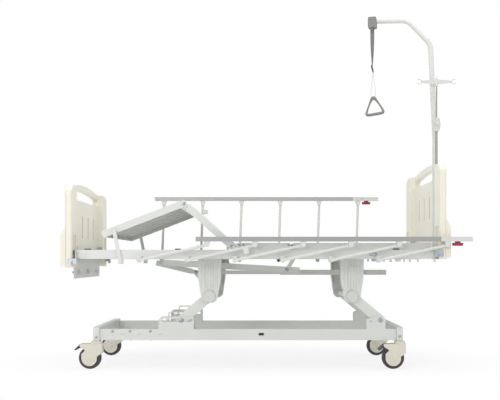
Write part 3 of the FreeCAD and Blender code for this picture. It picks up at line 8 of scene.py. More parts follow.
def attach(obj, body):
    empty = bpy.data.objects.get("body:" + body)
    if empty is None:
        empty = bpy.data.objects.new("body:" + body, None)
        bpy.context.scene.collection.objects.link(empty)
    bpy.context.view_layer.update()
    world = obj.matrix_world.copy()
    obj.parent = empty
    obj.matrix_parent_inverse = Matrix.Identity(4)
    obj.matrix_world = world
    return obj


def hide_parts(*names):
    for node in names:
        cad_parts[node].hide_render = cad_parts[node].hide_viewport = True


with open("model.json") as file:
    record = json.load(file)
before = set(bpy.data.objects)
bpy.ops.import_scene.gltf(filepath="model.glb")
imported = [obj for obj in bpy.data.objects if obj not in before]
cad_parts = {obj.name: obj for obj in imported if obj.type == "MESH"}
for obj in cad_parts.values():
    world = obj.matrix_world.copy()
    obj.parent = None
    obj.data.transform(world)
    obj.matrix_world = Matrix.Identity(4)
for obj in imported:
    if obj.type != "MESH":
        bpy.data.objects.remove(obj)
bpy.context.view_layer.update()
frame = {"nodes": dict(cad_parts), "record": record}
nodes = frame["nodes"]
print("bed frame loaded:", len(nodes), "nodes")


# Shader sockets that take Python operators
class Wire:
    def __init__(self, tree, socket):
        self.tree = tree
        self.socket = socket

    def maths(self, operation, *others, flip=False):
        values = [self, *others]
        if flip:
            values.reverse()
        return addNode(self.tree, "ShaderNodeMath", {"operation": operation}, dict(enumerate(values)))[0]

    def __add__(self, other):
        return self.maths("ADD", other)

    def __radd__(self, other):
        return self.maths("ADD", other)

    def __sub__(self, other):
        return self.maths("SUBTRACT", other)

    def __rsub__(self, other):
        return self.maths("SUBTRACT", other, flip=True)

    def __mul__(self, other):
        return self.maths("MULTIPLY", other)

    def __rmul__(self, other):
        return self.maths("MULTIPLY", other)

    def __truediv__(self, other):
        return self.maths("DIVIDE", other)

    def __pow__(self, other):
        return self.maths("POWER", other)

    def size(self):
        return self.maths("ABSOLUTE")

    def clamp(self):
        return addNode(self.tree, "ShaderNodeClamp", {}, {"Value": self})[0]


def addNode(tree, kind, settings, values):
    made = tree.nodes.new(kind)
    for name, value in settings.items():
        setattr(made, name, value)
    for name, value in values.items():
        plug = made.inputs[name]
        if isinstance(value, Wire):
            tree.links.new(value.socket, plug)
        elif plug.type == "RGBA" and len(value) == 3:
            plug.default_value = (*value, 1)
        else:
            plug.default_value = value
    return [Wire(tree, plug) for plug in made.outputs if plug.enabled]


class Finish:
    # one material with a Principled shader and a few helpers
    def __init__(self, name):
        self.material = bpy.data.materials.new(name)
        self.material.use_nodes = True
        self.tree = self.material.node_tree
        self.shader = next(n for n in self.tree.nodes if n.type == "BSDF_PRINCIPLED")

    def put(self, **values):
        for name, value in values.items():
            plug = self.shader.inputs[name.replace("_", " ")]
            if isinstance(value, Wire):
                self.tree.links.new(value.socket, plug)
            elif plug.type == "RGBA":
                plug.default_value = (*value, 1)
            else:
                plug.default_value = value

    def node(self, kind, settings=None, **values):
        plain = {name.replace("_", " "): value for name, value in values.items()}
        return addNode(self.tree, kind, settings or {}, plain)

    def where(self):
        return self.node("ShaderNodeTexCoord")[3]

    def stretched(self, place, scale):
        return self.node("ShaderNodeMapping", {}, Vector=place, Scale=scale)[0]

    def noise(self, place, scale, detail=2.0, roughness=0.5):
        return self.node("ShaderNodeTexNoise", {}, Vector=place, Scale=scale, Detail=detail,
                         Roughness=roughness)[0]

    def band(self, value, low, high):
        return self.node("ShaderNodeMapRange", {"clamp": True}, Value=value, From_Min=low, From_Max=high)[0]

    def mix(self, factor, first, second):
        made = addNode(self.tree, "ShaderNodeMix", {"data_type": "RGBA"}, {0: factor, 6: first, 7: second})
        return made[0]

    def bump(self, height, strength, distance):
        return self.node("ShaderNodeBump", {}, Strength=strength, Distance=distance, Height=height)[0]

    def dust(self, place):
        # faint marks that gather along worn patches
        return self.band(self.noise(place, 5.0, 4.0, 0.6), 0.48, 0.78)

    def axes(self, place):
        return self.node("ShaderNodeSeparateXYZ", {}, Vector=place)

    def between(self, value, low, high, soft=0.001):
        # 1 inside the two limits, in metres, with soft ends
        return self.band(value, low - soft, low + soft) * (1 - self.band(value, high - soft, high + soft))


creamColour = (0.80, 0.77, 0.665)
paintColour = (0.665, 0.68, 0.645)


def painted(made, place, colour, grain=900.0):
    # colour, roughness and bump of powder coat, shared by the pieces that are partly painted
    cloud = made.band(made.noise(place, 3.0, 3.0), 0.3, 0.7)
    worn = made.dust(place)
    darker = tuple(c * 0.94 for c in colour)
    stained = (colour[0] * 0.88, colour[1] * 0.87, colour[2] * 0.84)
    paint = made.mix(worn * 0.28, made.mix(cloud * 0.5, colour, darker), stained)
    return paint, 0.36 + cloud * 0.08 + worn * 0.1, made.noise(place, grain, 2.0)


def powderCoat(name, colour):
    made = Finish(name)
    paint, gloss, speck = painted(made, made.where(), colour)
    made.put(Base_Color=paint, Roughness=gloss, Metallic=0.0, Normal=made.bump(speck, 0.12, 0.0004))
    return made.material


def pressedSteel(name, colour, middles):
    # painted covers with shallow pressed flutes beside the middle of each, the flutes also darkened in colour
    # as painted shade
    made = Finish(name)
    place = made.where()
    paint, gloss, speck = painted(made, place, colour)
    across, deep, tall = made.axes(place)
    flutesAndShade = 0.0
    offsets = (-0.046, -0.022, -0.008, 0.008, 0.022, 0.046)
    half = 0.002
    for line in [middle + offset for middle in middles for offset in offsets]:
        flutesAndShade = made.between(across, line - half, line + half, 0.0015) + flutesAndShade
    flutesAndShade = flutesAndShade * made.between(tall, 0.452, 0.6, 0.02) * made.between(deep.size(), 0.305, 0.32, 0.001)
    # painted shade: the paint is darkened inside the flutes, on top of their bump
    made.put(Base_Color=made.mix(flutesAndShade * 0.75, paint, tuple(c * 0.8 for c in colour)), Roughness=gloss,
             Normal=made.bump(speck * 0.1 - flutesAndShade, 0.35, 0.003))
    return made.material


def mouldedPlastic(name, colour, roughness=0.4, grain=1400.0, depth=0.1, shaded=None):
    made = Finish(name)
    place = made.where()
    cloud = made.band(made.noise(place, 4.0, 2.0), 0.3, 0.7)
    texture = made.noise(place, grain, 3.0, 0.6)
    scuff = made.band(made.noise(made.stretched(place, (30.0, 30.0, 6.0)), 3.0, 5.0, 0.7), 0.62, 0.8)
    darker = tuple(c * 0.95 for c in colour)
    paint = made.mix(scuff * 0.18, made.mix(cloud * 0.6, colour, darker), tuple(c * 0.82 for c in colour))
    if shaded:
        paint = made.mix(shaded["mask"](made, *made.axes(place)), paint, shaded["colour"])
    made.put(Base_Color=paint, Roughness=roughness + scuff * 0.12 + cloud * 0.04,
             Normal=made.bump(texture, depth, 0.0003))
    return made.material


def panelShade(face, low, seatLow):
    # grooves and end seats of a panel's inner face are shaded: four lines, mirrored about two middles
    pitch = 0.0705

    def mask(made, along, across, tall):
        lines = made.between((((across.size() - 2 * pitch).size()) - pitch).size(), -0.01, 0.0066, 0.001)
        lines = lines * made.between(tall, low - 0.001, low + 0.133, 0.003)
        lines = lines * made.between((along - face).size(), -0.01, 0.008, 0.001)
        seat = made.between(across.size(), 0.371, 0.439, 0.003)
        seat = seat * made.between(tall, seatLow, seatLow + 0.11, 0.004)
        return (lines * 0.85 + seat * 0.35 * made.between(along.size(), 0.94, 1.065, 0.004)).clamp()
    return {"mask": mask, "colour": (0.50, 0.42, 0.31)}


def railMetal(name, colour, paintBelow):
    # anodised bar whose cheeks, below the bar, are painted
    made = Finish(name)
    place = made.where()
    paint, gloss, speck = painted(made, place, (0.66, 0.67, 0.64))
    bar = made.band(made.axes(place)[2], paintBelow - 0.0004, paintBelow + 0.0004)
    lines = made.noise(made.stretched(place, (3.0, 260.0, 260.0)), 1.0, 3.0, 0.6)
    cloud = made.band(made.noise(place, 9.0, 3.0), 0.35, 0.7)
    metal = made.mix(cloud * 0.5, colour, tuple(c * 0.93 for c in colour))
    made.put(Base_Color=made.mix(bar, paint, metal), Metallic=bar * 0.55,
             Roughness=gloss * (1 - bar) + bar * (0.42 + lines * 0.1),
             Normal=made.bump(lines * bar + speck * (1 - bar), 0.06, 0.0002))
    return made.material


def platedMetal(name, colour, roughness, scale=(400.0, 6.0, 6.0), tint=0.08, paintWithin=None):
    made = Finish(name)
    place = made.where()
    lines = made.noise(made.stretched(place, scale), 1.0, 3.0, 0.6)
    cloud = made.band(made.noise(place, 22.0, 3.0), 0.35, 0.7)
    metal = made.mix(cloud * 0.5, colour, tuple(c * (1 - tint) for c in colour))
    gloss = roughness + lines * 0.08 + cloud * 0.05
    if paintWithin:
        paint, dull, _ = painted(made, place, paintColour)
        bare = made.band(made.axes(place)[1].size(), paintWithin - 0.0004, paintWithin + 0.0004)
        made.put(Base_Color=made.mix(bare, paint, metal), Metallic=bare,
                 Roughness=gloss * bare + dull * (1 - bare), Normal=made.bump(lines, 0.05, 0.0002))
    else:
        made.put(Base_Color=metal, Metallic=1.0, Roughness=gloss, Normal=made.bump(lines, 0.05, 0.0002))
    return made.material


def wovenStrap(name, colour):
    made = Finish(name)
    place = made.where()
    ribs = made.node("ShaderNodeTexWave", {"bands_direction": "Z"}, Vector=place, Scale=110.0,
                     Distortion=0.6, Detail=1.0)[1]
    threads = made.noise(made.stretched(place, (900.0, 900.0, 200.0)), 1.0, 2.0)
    made.put(Base_Color=made.mix(ribs * 0.6, tuple(c * 0.75 for c in colour), colour),
             Roughness=0.78 + threads * 0.12, Normal=made.bump(ribs + threads * 0.4, 0.4, 0.0004))
    return made.material


def tyreRubber(name, colour):
    made = Finish(name)
    place = made.where()
    pores = made.noise(place, 700.0, 3.0)
    dusty = made.band(made.noise(place, 26.0, 4.0, 0.7), 0.45, 0.75)
    made.put(Base_Color=made.mix(dusty * 0.35, colour, tuple(c * 1.9 + 0.01 for c in colour)),
             Roughness=0.62 + dusty * 0.15, Normal=made.bump(pores, 0.18, 0.0004))
    return made.material


finishes = {
    "cream_plastic": mouldedPlastic("panelCream", creamColour, 0.36),
    "painted_steel": powderCoat("framePaint", paintColour),
    "rail_aluminium": railMetal("farRailMetal", (0.40, 0.40, 0.40), 1.0138),
    "castor_cover": mouldedPlastic("castorCover", (0.70, 0.67, 0.57), 0.42),
    "castor_tread": tyreRubber("castorTyre", (0.052, 0.048, 0.062)),
    "pedal_plastic": mouldedPlastic("pedalPlastic", (0.075, 0.07, 0.085), 0.45),
    "zinc": platedMetal("zincPlate", (0.44, 0.49, 0.54), 0.34, (40.0, 40.0, 260.0), 0.2, 0.4552),
    # painted reflection: the chrome's base colour is dark and warm to stand in for the dark surroundings it
    # reflects
    "chrome_steel": platedMetal("chromeSteel", (0.26, 0.245, 0.215), 0.2, (300.0, 300.0, 8.0)),
    "grey_plastic": mouldedPlastic("trapezeGrey", (0.215, 0.215, 0.20), 0.48),
    "webbing": wovenStrap("strapWebbing", (0.24, 0.24, 0.225)),
    "red_plastic": mouldedPlastic("releaseRed", (0.30, 0.016, 0.05), 0.3),
    "white_plastic": mouldedPlastic("fittingWhite", (0.62, 0.63, 0.61), 0.38),
}
ownFinishes = {
    "foot_panel": mouldedPlastic("footPanelCream", creamColour, 0.36,
                                 shaded=panelShade(-1.0904, 0.743, 0.647)),
    "head_panel": mouldedPlastic("headPanelCream", creamColour, 0.36,
                                 shaded=panelShade(0.9836, 0.861, 0.692)),
    "near_rail_bar": railMetal("nearRailMetal", (0.345, 0.345, 0.345), 0.7169),
    "leg_boxes": pressedSteel("boxPaint", paintColour, (-0.3154, 0.4926)),
    "panel_latches": platedMetal("latchZinc", (0.42, 0.50, 0.53), 0.3, (60.0, 60.0, 200.0), 0.15),
}
blackPlastic = mouldedPlastic("plugBlack", (0.018, 0.018, 0.02), 0.5)
boltZinc = platedMetal("boltZinc", (0.36, 0.41, 0.47), 0.34, (120.0, 120.0, 120.0), 0.2)
for part in frame["record"]["subparts"]:
    node = nodes[part["node"]]
    node.data.materials.clear()
    node.data.materials.append(ownFinishes.get(part["node"], finishes[part["material_slot"]]))
print("finishes given to every node")


# Small pieces, each made in place in millimetres and kept in metres
def mm(*values):
    return Vector(values) / 1000


def finishPiece(name, shape, body, finish, sharp=35):
    # closes a shape and gives it its body, finish and slot
    bmesh.ops.remove_doubles(shape, verts=shape.verts, dist=0.00001)
    bmesh.ops.recalc_face_normals(shape, faces=shape.faces)
    sheet = bpy.data.meshes.new(name)
    shape.to_mesh(sheet)
    shape.free()
    sheet.shade_smooth()
    sheet.set_sharp_from_angle(angle=math.radians(sharp))
    piece = bpy.data.objects.new(name, sheet)
    bpy.context.scene.collection.objects.link(piece)
    piece.data.materials.append(finish)
    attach(piece, body)
    return piece


def soften(shape, edges, rim, segments=2):
    bmesh.ops.bevel(shape, geom=list(edges), offset=rim / 1000, segments=segments, affect="EDGES",
                    profile=0.5, material=-1)


def addHead(shape, centre, axis, radius, depth, rim=0.6, sides=20, taper=1.0, socket=0.0):
    # a round or many-sided head on the surface at centre, towards axis
    facing = Vector(axis).normalized()
    turn = facing.to_track_quat("Z", "Y").to_matrix().to_4x4()
    place = Matrix.Translation(mm(*centre) + facing * depth / 2000) @ turn
    made = bmesh.ops.create_cone(shape, cap_ends=True, segments=sides, radius1=radius / 1000,
                                 radius2=radius * taper / 1000, depth=depth / 1000, matrix=place)["verts"]
    back = place.inverted()
    outer = [v for v in made if (back @ v.co).z > 0]
    if socket:
        top = next(f for f in outer[0].link_faces if all(v in outer for v in f.verts))
        bmesh.ops.inset_region(shape, faces=[top], thickness=radius * taper * (1 - socket) / 1000)
        bmesh.ops.translate(shape, verts=top.verts, vec=-facing * depth * 0.5 / 1000)
    else:
        edges = {e for v in outer for e in v.link_edges if all(w in outer for w in e.verts)}
        soften(shape, edges, rim)


def addBolt(shape, centre, axis, size, washer=True):
    # washer, hexagon head and a little of the thread's end
    facing = Vector(axis).normalized()
    if washer:
        addHead(shape, centre, axis, size * 1.1, size * 0.16, 0.3, 24)
    base = Vector(centre) + facing * size * 0.16
    addHead(shape, base, axis, size * 0.9, size * 0.55, size * 0.09, 6)
    addHead(shape, base + facing * size * 0.55, axis, size * 0.48, size * 0.16, size * 0.1, 16)


def addBlock(shape, low, high, rim=1.0, segments=2):
    size = Vector(high) - Vector(low)
    middle = (Vector(high) + Vector(low)) / 2
    place = Matrix.Translation(middle / 1000) @ Matrix.Diagonal((*(size / 1000), 1))
    made = bmesh.ops.create_cube(shape, size=1, matrix=place)["verts"]
    edges = {e for v in made for e in v.link_edges}
    soften(shape, edges, rim, segments)


def addSideBlock(shape, side, along, across, tall, rim, segments=2):
    # a block given by ranges, with the range across mirrored to its side
    near, far = sorted(side * edge for edge in across)
    addBlock(shape, (along[0], near, tall[0]), (along[1], far, tall[1]), rim, segments)


def addPlate(shape, corners, depth, rim=0.8):
    # a flat outline pushed out by depth, with softened edges
    face = shape.faces.new([shape.verts.new(mm(*c)) for c in corners])
    made = bmesh.ops.extrude_face_region(shape, geom=[face])["geom"]
    verts = [g for g in made if isinstance(g, bmesh.types.BMVert)]
    bmesh.ops.translate(shape, verts=verts, vec=mm(*depth))
    edges = {e for v in verts for e in v.link_edges}
    soften(shape, edges, rim)


def addRod(shape, points, radius, closed=False, sizes=None, sides=4):
    # a round bar along a smooth line, with its own thickness at each point
    line = bpy.data.curves.new("line", "CURVE")
    line.dimensions = "3D"
    line.bevel_depth = radius / 1000
    line.bevel_resolution = sides
    line.use_fill_caps = not closed
    run = line.splines.new("NURBS")
    run.points.add(len(points) - 1)
    for i, point in enumerate(points):
        run.points[i].co = (*mm(*point), 1)
        run.points[i].radius = sizes[i] if sizes else 1.0
    run.use_cyclic_u = closed
    run.use_endpoint_u = not closed
    run.order_u = 3
    run.resolution_u = 8
    holder = bpy.data.objects.new("line", line)
    mesh = bpy.data.meshes.new_from_object(holder)
    shape.from_mesh(mesh)
    bpy.data.meshes.remove(mesh)
    bpy.data.objects.remove(holder)
    bpy.data.curves.remove(line)


bothSides = (-1, 1)

# Base: covers on the tube ends, bolts, and the dark insert of the window
base = {"tubeEnds": ((-972.4, -937.4), (743.6, 778.6)), "endBolts": ((-955, 181), (761, 184)),
        "endFace": 316.5, "railBolts": (-866, -766, -651), "railFace": 305,
        "screws": (-812, -801, -717, -706, -598, -587), "pivot": (653.4, 275), "pivotFace": 304,
        "window": (-36.6, -8.2)}
shape = bmesh.new()
for low, high in base["tubeEnds"]:
    for side in bothSides:
        addSideBlock(shape, side, (low + 0.5, high - 0.5), (313, base["endFace"]), (158.6, 235.4), 1.2)
finishPiece("baseTubeEnds", shape, "base", finishes["painted_steel"])
shape = bmesh.new()
for side in bothSides:
    outward = (0, side, 0)
    for x, z in base["endBolts"]:
        addBolt(shape, (x, side * base["endFace"], z), outward, 7)
    for x in base["railBolts"]:
        addBolt(shape, (x, side * base["railFace"], 213), outward, 7.5)
        addHead(shape, (x + 2, side * 290, 162), (0, 0, -1), 6, 2.5)
    for x in base["screws"]:
        addHead(shape, (x, side * base["railFace"], 195.5), outward, 2.8, 1.2, 0.4, 14)
    addBolt(shape, (base["pivot"][0], side * base["pivotFace"], base["pivot"][1]), outward, 12)
    addHead(shape, (600, side * base["pivotFace"], 268), outward, 5, 2.2)
finishPiece("baseBolts", shape, "base", boltZinc)
shape = bmesh.new()
for side in bothSides:
    addSideBlock(shape, side, base["window"], (299, 303.6), (188.6, 202.4), 1.5)
finishPiece("levelGauge", shape, "base", blackPlastic)

# Lift: bolts of the levers and of the back's horn, and the pins that slide in the guide slots
lift = {"levers": (("foot_lift", -424.7, "footLeverBolts"), ("head_lift", 601.85, "headLeverBolts")),
        "leverFork": (45.7, 94.3), "leverTall": 540.2, "guidePin": (-476.3, 275), "backHorn": (131.6, 558),
        "hornFork": (-82.3, -37.7)}


def addForkBolts(shape, x, fork, z, size):
    # one bolt on each outer face of a fork
    addBolt(shape, (x, fork[0], z), (0, -1, 0), size)
    addBolt(shape, (x, fork[1], z), (0, 1, 0), size)


for body, x, name in lift["levers"]:
    shape = bmesh.new()
    addForkBolts(shape, x, lift["leverFork"], lift["leverTall"], 10)
    if body == "foot_lift":
        pinX, pinZ = lift["guidePin"]
        for side in bothSides:
            addHead(shape, (pinX, side * 304, pinZ), (0, side, 0), 13, 3, 0.8, 28)
            addBolt(shape, (pinX, side * 307, pinZ), (0, side, 0), 8, washer=False)
    finishPiece(name, shape, body, boltZinc)
shape = bmesh.new()
addForkBolts(shape, lift["backHorn"][0], lift["hornFork"], lift["backHorn"][1], 10)
finishPiece("backHornBolts", shape, "back", boltZinc)

# Deck: bolts of the side flanges and the hinges
deck = {"face": 428, "seatBolts": (-142, -121, 128, 146), "seatTall": 698, "thighHinge": (-183.4, 690),
        "knee": (-449.2, 926.8), "backHinge": (160.6, 690)}
shape = bmesh.new()
for side in bothSides:
    for x in deck["seatBolts"]:
        addBolt(shape, (x, side * deck["face"], deck["seatTall"]), (0, side, 0), 6)
finishPiece("seatBolts", shape, "frame", boltZinc)
shape = bmesh.new()
for side in bothSides:
    y = side * deck["face"]
    hingeX, hingeZ = deck["thighHinge"]
    addHead(shape, (hingeX, y, hingeZ), (0, side, 0), 10, 2.4, 0.6, 28, 1.0, 0.62)
    addBolt(shape, (deck["knee"][0], y, deck["knee"][1]), (0, side, 0), 9)
    addHead(shape, (-432, y, 905), (0, side, 0), 3.5, 1.6)
finishPiece("thighHingeBolts", shape, "thigh", boltZinc)
shape = bmesh.new()
for side in bothSides:
    y = side * deck["face"]
    addBolt(shape, (deck["backHinge"][0], y, deck["backHinge"][1]), (0, side, 0), 8)
    addHead(shape, (182, y, 697), (0, side, 0), 4, 1.8)
finishPiece("backHingeBolts", shape, "back", boltZinc)

# Upper frame: rests, plugs, pegs and an oval ring on each side
upper = {"face": 445, "rests": ((-993, -957), (-496, -463), (700, 734)), "plugs": (94.6, 616.6),
         "boxPlugs": (-352, 455), "pegs": (690, 795, 839, 930), "pegY": 430, "wideRest": (713, 745),
         "ringX": 589}
shape = bmesh.new()
for side in bothSides:
    for along in upper["rests"]:
        addSideBlock(shape, side, along, (431, 443.5), (671, 678.5), 2.5, 3)
finishPiece("railRests", shape, "frame", blackPlastic)
shape = bmesh.new()
for x in upper["plugs"]:
    addHead(shape, (x, upper["face"], 613), (0, -1, 0), 7.5, 3)
for side in bothSides:
    addHead(shape, (-30, side * upper["face"], 640), (0, side, 0), 5, 1.5)
finishPiece("railPlugs", shape, "frame", blackPlastic)
shape = bmesh.new()
for side in bothSides:
    for x in upper["boxPlugs"]:
        addHead(shape, (x, side * 310, 612), (0, side, 0), 5.5, 2, 0.6, 18)
finishPiece("boxPlugs", shape, "frame", finishes["white_plastic"])
shape = bmesh.new()
for side in bothSides:
    y = side * upper["pegY"]
    for x in upper["pegs"]:
        addHead(shape, (x, y, 622.2), (0, 0, -1), 5, 14, 0.8, 16)
        addHead(shape, (x, y, 608.5), (0, 0, -1), 7.5, 3, 0.8, 18)
    low, high = upper["wideRest"]
    addBlock(shape, (low, y - 7, 607), (high, y + 7, 623), 3, 3)
finishPiece("railPegs", shape, "frame", finishes["painted_steel"])
shape = bmesh.new()
ringX = upper["ringX"]
turns = [math.radians(20 + 32 * i) for i in range(11)]
for side in bothSides:
    ring = [(ringX + 20 * math.cos(a), side * (449 + 4 * math.cos(a)), 648 + 9 * math.sin(a)) for a in turns]
    addRod(shape, ring, 2.0)
    addHead(shape, (ringX + 18, side * upper["face"], 651), (0, side, 0), 4, 4)
finishPiece("bagRings", shape, "frame", boltZinc)
print("bolts, rests and pegs in place")

# Rails: two screws on the sleeve of each bar
railScrews = (("far_bar", 472, 651, 1031), ("near_bar", -496.7, 1008.6, 734.2))
for body, y, x, z in railScrews:
    shape = bmesh.new()
    for step in (0, 14):
        addHead(shape, (x + step, y, z), (0, -1, 0), 3.2, 1.2, 0.4, 16, 1.0, 0.5)
    finishPiece(f"{body}Screws", shape, body, boltZinc)

# Trapeze: twisted strap, slider, loop and three-sided grip, in the plane of the arm
trapeze = {"pivot": (627.2, -170.9), "turn": 17.0, "top": 1972.0, "strapLow": 1752.0, "strapHalf": 11.5,
           "thick": 1.1, "steps": 26, "slider": (1752.0, 1712.0), "apex": 1566.0, "lean": 6.5}
armTurn = math.radians(trapeze["turn"])


def armPoint(out, deep, tall):
    # out runs towards the head end in the arm's plane, deep across it
    x, y = trapeze["pivot"]
    along = x + out * math.cos(armTurn) + deep * math.sin(armTurn)
    across = y - out * math.sin(armTurn) + deep * math.cos(armTurn)
    return (along, across, tall)


shape = bmesh.new()
half, thick = trapeze["strapHalf"], trapeze["thick"]
place = Matrix.Translation(mm(*armPoint(0, 0, trapeze["top"]))) @ Matrix.Rotation(-armTurn, 4, "Z")
place = place @ Matrix.Diagonal((half / 500, thick / 500, 0.002, 1))
made = bmesh.ops.create_cube(shape, size=1, matrix=place)["verts"]
floorOf = min(v.co.z for v in made)
face = next(f for f in shape.faces if all(abs(v.co.z - floorOf) < 1e-6 for v in f.verts))
steps = trapeze["steps"]
turned = Matrix.Rotation(math.radians(90 / steps), 3, "Z")
drop = Vector((0, 0, -(trapeze["top"] - trapeze["strapLow"]) / steps / 1000))
for _ in range(steps):
    face = bmesh.ops.extrude_discrete_faces(shape, faces=[face])["faces"][0]
    middle = face.calc_center_median()
    bmesh.ops.translate(shape, verts=face.verts, vec=drop)
    bmesh.ops.rotate(shape, verts=face.verts, cent=middle, matrix=turned)
strap = finishPiece("trapezeStrap", shape, "strap", finishes["webbing"], 50)
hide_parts("trapeze_strap")
shape = bmesh.new()
high, low = trapeze["slider"]
run = [armPoint(-5, 0, high + 4), armPoint(-4, 0, high - 6), armPoint(1, 0, (high + low) / 2),
       armPoint(4, 0, low + 6), armPoint(5, 0, low - 2)]
addRod(shape, run, 3.6, sizes=(0.7, 1.25, 1.3, 1.2, 0.8))
addRod(shape, [armPoint(0, -7, high - 8), armPoint(0, 7, high - 8)], 1.8)
finishPiece("strapSlider", shape, "strap", blackPlastic)

lean = math.radians(trapeze["lean"])


def gripPoint(out, tall):
    # measured from the grip's apex, leaned as it hangs
    leaned = 5 + out * math.cos(lean) - tall * math.sin(lean)
    return armPoint(leaned, 0.0, trapeze["apex"] + out * math.sin(lean) + tall * math.cos(lean))


shape = bmesh.new()
# along and below the apex, with the bar's thickness there
outline = ((0, -2, 1.5), (9, -7, 1.15), (26, -36, 0.62), (43, -70, 0.72), (51, -92, 1.0), (42, -99, 1.12),
           (0, -99, 1.15), (-42, -99, 1.12), (-51, -92, 1.0), (-43, -70, 0.72), (-26, -36, 0.62),
           (-9, -7, 1.15))
addRod(shape, [gripPoint(x, z) for x, z, _ in outline], 7.6, closed=True,
       sizes=[size for _, _, size in outline], sides=6)
grip = finishPiece("trapezeGrip", shape, "grip", finishes["grey_plastic"], 60)
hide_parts("trapeze_grip")
shape = bmesh.new()
for side in bothSides:
    leg = [armPoint(3, side * 2, low + 2), armPoint(4 + side * 2, side * 3, low - 30),
           armPoint(5 + side * 9, side * 2, 1645), armPoint(6 + side * 13, 0, 1600),
           gripPoint(side * 13, 6), gripPoint(side * 9, -10)]
    addRod(shape, leg, 1.7)
finishPiece("gripLoop", shape, "grip", finishes["white_plastic"], 60)
print("trapeze strap and grip made")

# Infusion pole: flat arms with ring hooks, the collar, and clips
infusion = {"x": 967.6, "y": -318.0, "arms": 1622.0, "reach": 84.0}
shape = bmesh.new()
px, py, pz = infusion["x"], infusion["y"], infusion["arms"]
turns = [math.radians(55 + 29 * i) for i in range(10)]
for side in bothSides:
    root, tip = px + side * 4, px + side * infusion["reach"]
    corners = [(root, py - 4, pz - 13), (tip, py - 4, pz - 6), (tip, py - 4, pz + 6), (root, py - 4, pz + 13)]
    addPlate(shape, corners, (0, 8, 0), 1.6)
    hook = [(px + side * (99 + 14 * math.cos(a)), py, pz + 2 + 14 * math.sin(a)) for a in turns]
    addRod(shape, hook, 2.4, sides=5)
addHead(shape, (px, py, pz - 26), (0, 0, 1), 9.5, 30, 2, 28)
addHead(shape, (px, py, pz + 3), (0, 0, 1), 8.5, 34, 1.2, 28, 0.25)
hooks = finishPiece("infusionHooks", shape, "iv_rod", finishes["white_plastic"], 45)
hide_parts("iv_pole_hooks")
shape = bmesh.new()
addHead(shape, (px, py, 1132), (0, 0, 1), 9.5, 12, 1.5, 28)
addHead(shape, (px, py - 8, 1138), (0, -1, 0), 4, 6, 1, 16)
addHead(shape, (px, py, 682), (0, 0, 1), 11, 10, 1.5, 28)
finishPiece("poleClips", shape, "frame", finishes["white_plastic"])
print("infusion hooks made")

# Castors: brake tabs, axle ends and the raised edge of each cover
castors = {"foot": -991.9, "head": 724.1, "apart": 300, "coverHalf": 25, "axle": 62.5}
creaseLine = ((-8, 26), (8, 38), (22, 62), (40, 84), (62, 92))
for end in ("foot", "head"):
    x = castors[end]
    for name, side in (("near", -1), ("far", 1)):
        y = side * castors["apart"]
        castor = f"castor_{end}_{name}"
        shape = bmesh.new()
        addBlock(shape, (x - 62, y - 21, 128), (x - 44, y + 21, 139), 3, 3)
        finishPiece(f"{castor}_tab", shape, f"{castor}_brake", finishes["pedal_plastic"])
        shape = bmesh.new()
        for out in bothSides:
            face = y + out * castors["coverHalf"]
            crease = [(x + along, face, tall) for along, tall in creaseLine]
            addRod(shape, crease, 1.1, sizes=(0.4, 1, 1.1, 1, 0.5), sides=3)
            addHead(shape, (x, face, castors["axle"]), (0, out, 0), 9, 1.4, 0.6, 28)
        finishPiece(f"{castor}_trim", shape, castor, finishes["castor_cover"])
print("castor trim made")


# Camera, light and floor
camera = {"place": (-0.0294, -4.5, 0.616), "lens": 53.31, "shift": (-0.02, 0.12)}
lens = bpy.data.cameras.new("wardCamera")
lens.lens = camera["lens"]
lens.sensor_width = 36
lens.shift_x, lens.shift_y = camera["shift"]
viewer = bpy.data.objects.new("wardCamera", lens)
viewer.location = camera["place"]
viewer.rotation_euler = (math.radians(90), 0, 0)
bpy.context.scene.collection.objects.link(viewer)
bpy.context.scene.camera = viewer


def softLamp(name, place, aim, width, height, power):
    lamp = bpy.data.lights.new(name, "AREA")
    lamp.shape = "RECTANGLE"
    lamp.size, lamp.size_y, lamp.energy = width, height, power
    holder = bpy.data.objects.new(name, lamp)
    holder.location = place
    holder.rotation_euler = (Vector(aim) - Vector(place)).to_track_quat("-Z", "Y").to_euler()
    bpy.context.scene.collection.objects.link(holder)


softLamp("ceilingPanel", (0, -0.6, 4.2), (0, 0, 0.6), 4.5, 3.5, 92)
softLamp("frontPanel", (-2.6, -4.6, 1.9), (0, 0, 0.5), 2.6, 2.2, 58)
softLamp("sidePanel", (3.4, -2.6, 2.2), (0.2, 0, 0.6), 2.0, 2.0, 24)


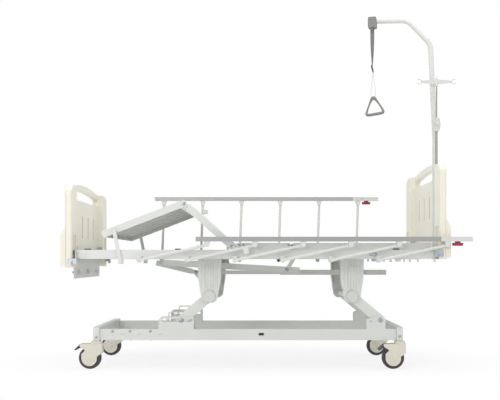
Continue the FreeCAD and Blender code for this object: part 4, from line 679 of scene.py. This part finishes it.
def whiteRays(tree):
    # rays that should meet plain white: from the camera, off shiny metal and through glass
    path = tree.nodes.new("ShaderNodeLightPath")
    kinds = ("Camera", "Glossy", "Transmission")
    direct, glossy, through = (Wire(tree, path.outputs[f"Is {kind} Ray"]) for kind in kinds)
    return (direct + glossy + through).clamp()


world = bpy.data.worlds.new("studio")
world.use_nodes = True
bpy.context.scene.world = world
tree = world.node_tree
tree.nodes.clear()
ambient = addNode(tree, "ShaderNodeBackground", {}, {"Color": (1, 1, 1), "Strength": 0.62})[0]
white = addNode(tree, "ShaderNodeBackground", {}, {"Color": (1, 1, 1), "Strength": 1.0})[0]
both = addNode(tree, "ShaderNodeMixShader", {}, {0: whiteRays(tree), 1: ambient, 2: white})[0]
addNode(tree, "ShaderNodeOutputWorld", {}, {"Surface": both})

floorMesh = bmesh.new()
bmesh.ops.create_grid(floorMesh, x_segments=1, y_segments=1, size=30)
sheet = bpy.data.meshes.new("studioFloor")
floorMesh.to_mesh(sheet)
floorMesh.free()
floor = bpy.data.objects.new("studioFloor", sheet)
bpy.context.scene.collection.objects.link(floor)
tile = bpy.data.materials.new("studioFloor")
tile.use_nodes = True
tree = tile.node_tree
tree.nodes.clear()
pale = addNode(tree, "ShaderNodeBsdfDiffuse", {}, {"Color": (0.95, 0.95, 0.95)})[0]
glow = addNode(tree, "ShaderNodeEmission", {}, {"Color": (1, 1, 1), "Strength": 1.0})[0]
middle = addNode(tree, "ShaderNodeTexCoord", {}, {})[3]
oval = addNode(tree, "ShaderNodeVectorMath", {"operation": "MULTIPLY"}, {0: middle, 1: (0.62, 1.0, 1.0)})[0]
outward = addNode(tree, "ShaderNodeVectorMath", {"operation": "LENGTH"}, {0: oval})[0]
away = addNode(tree, "ShaderNodeMapRange", {"interpolation_type": "SMOOTHSTEP"},
               {"Value": outward, "From Min": 0.55, "From Max": 1.25, "To Min": 0.8, "To Max": 1.0})[0]
lit = addNode(tree, "ShaderNodeMixShader", {}, {0: whiteRays(tree) * away, 1: pale, 2: glow})[0]
addNode(tree, "ShaderNodeOutputMaterial", {}, {"Surface": lit})
floor.data.materials.append(tile)
bpy.context.scene.view_settings.view_transform = "Standard"
print("studio ready")
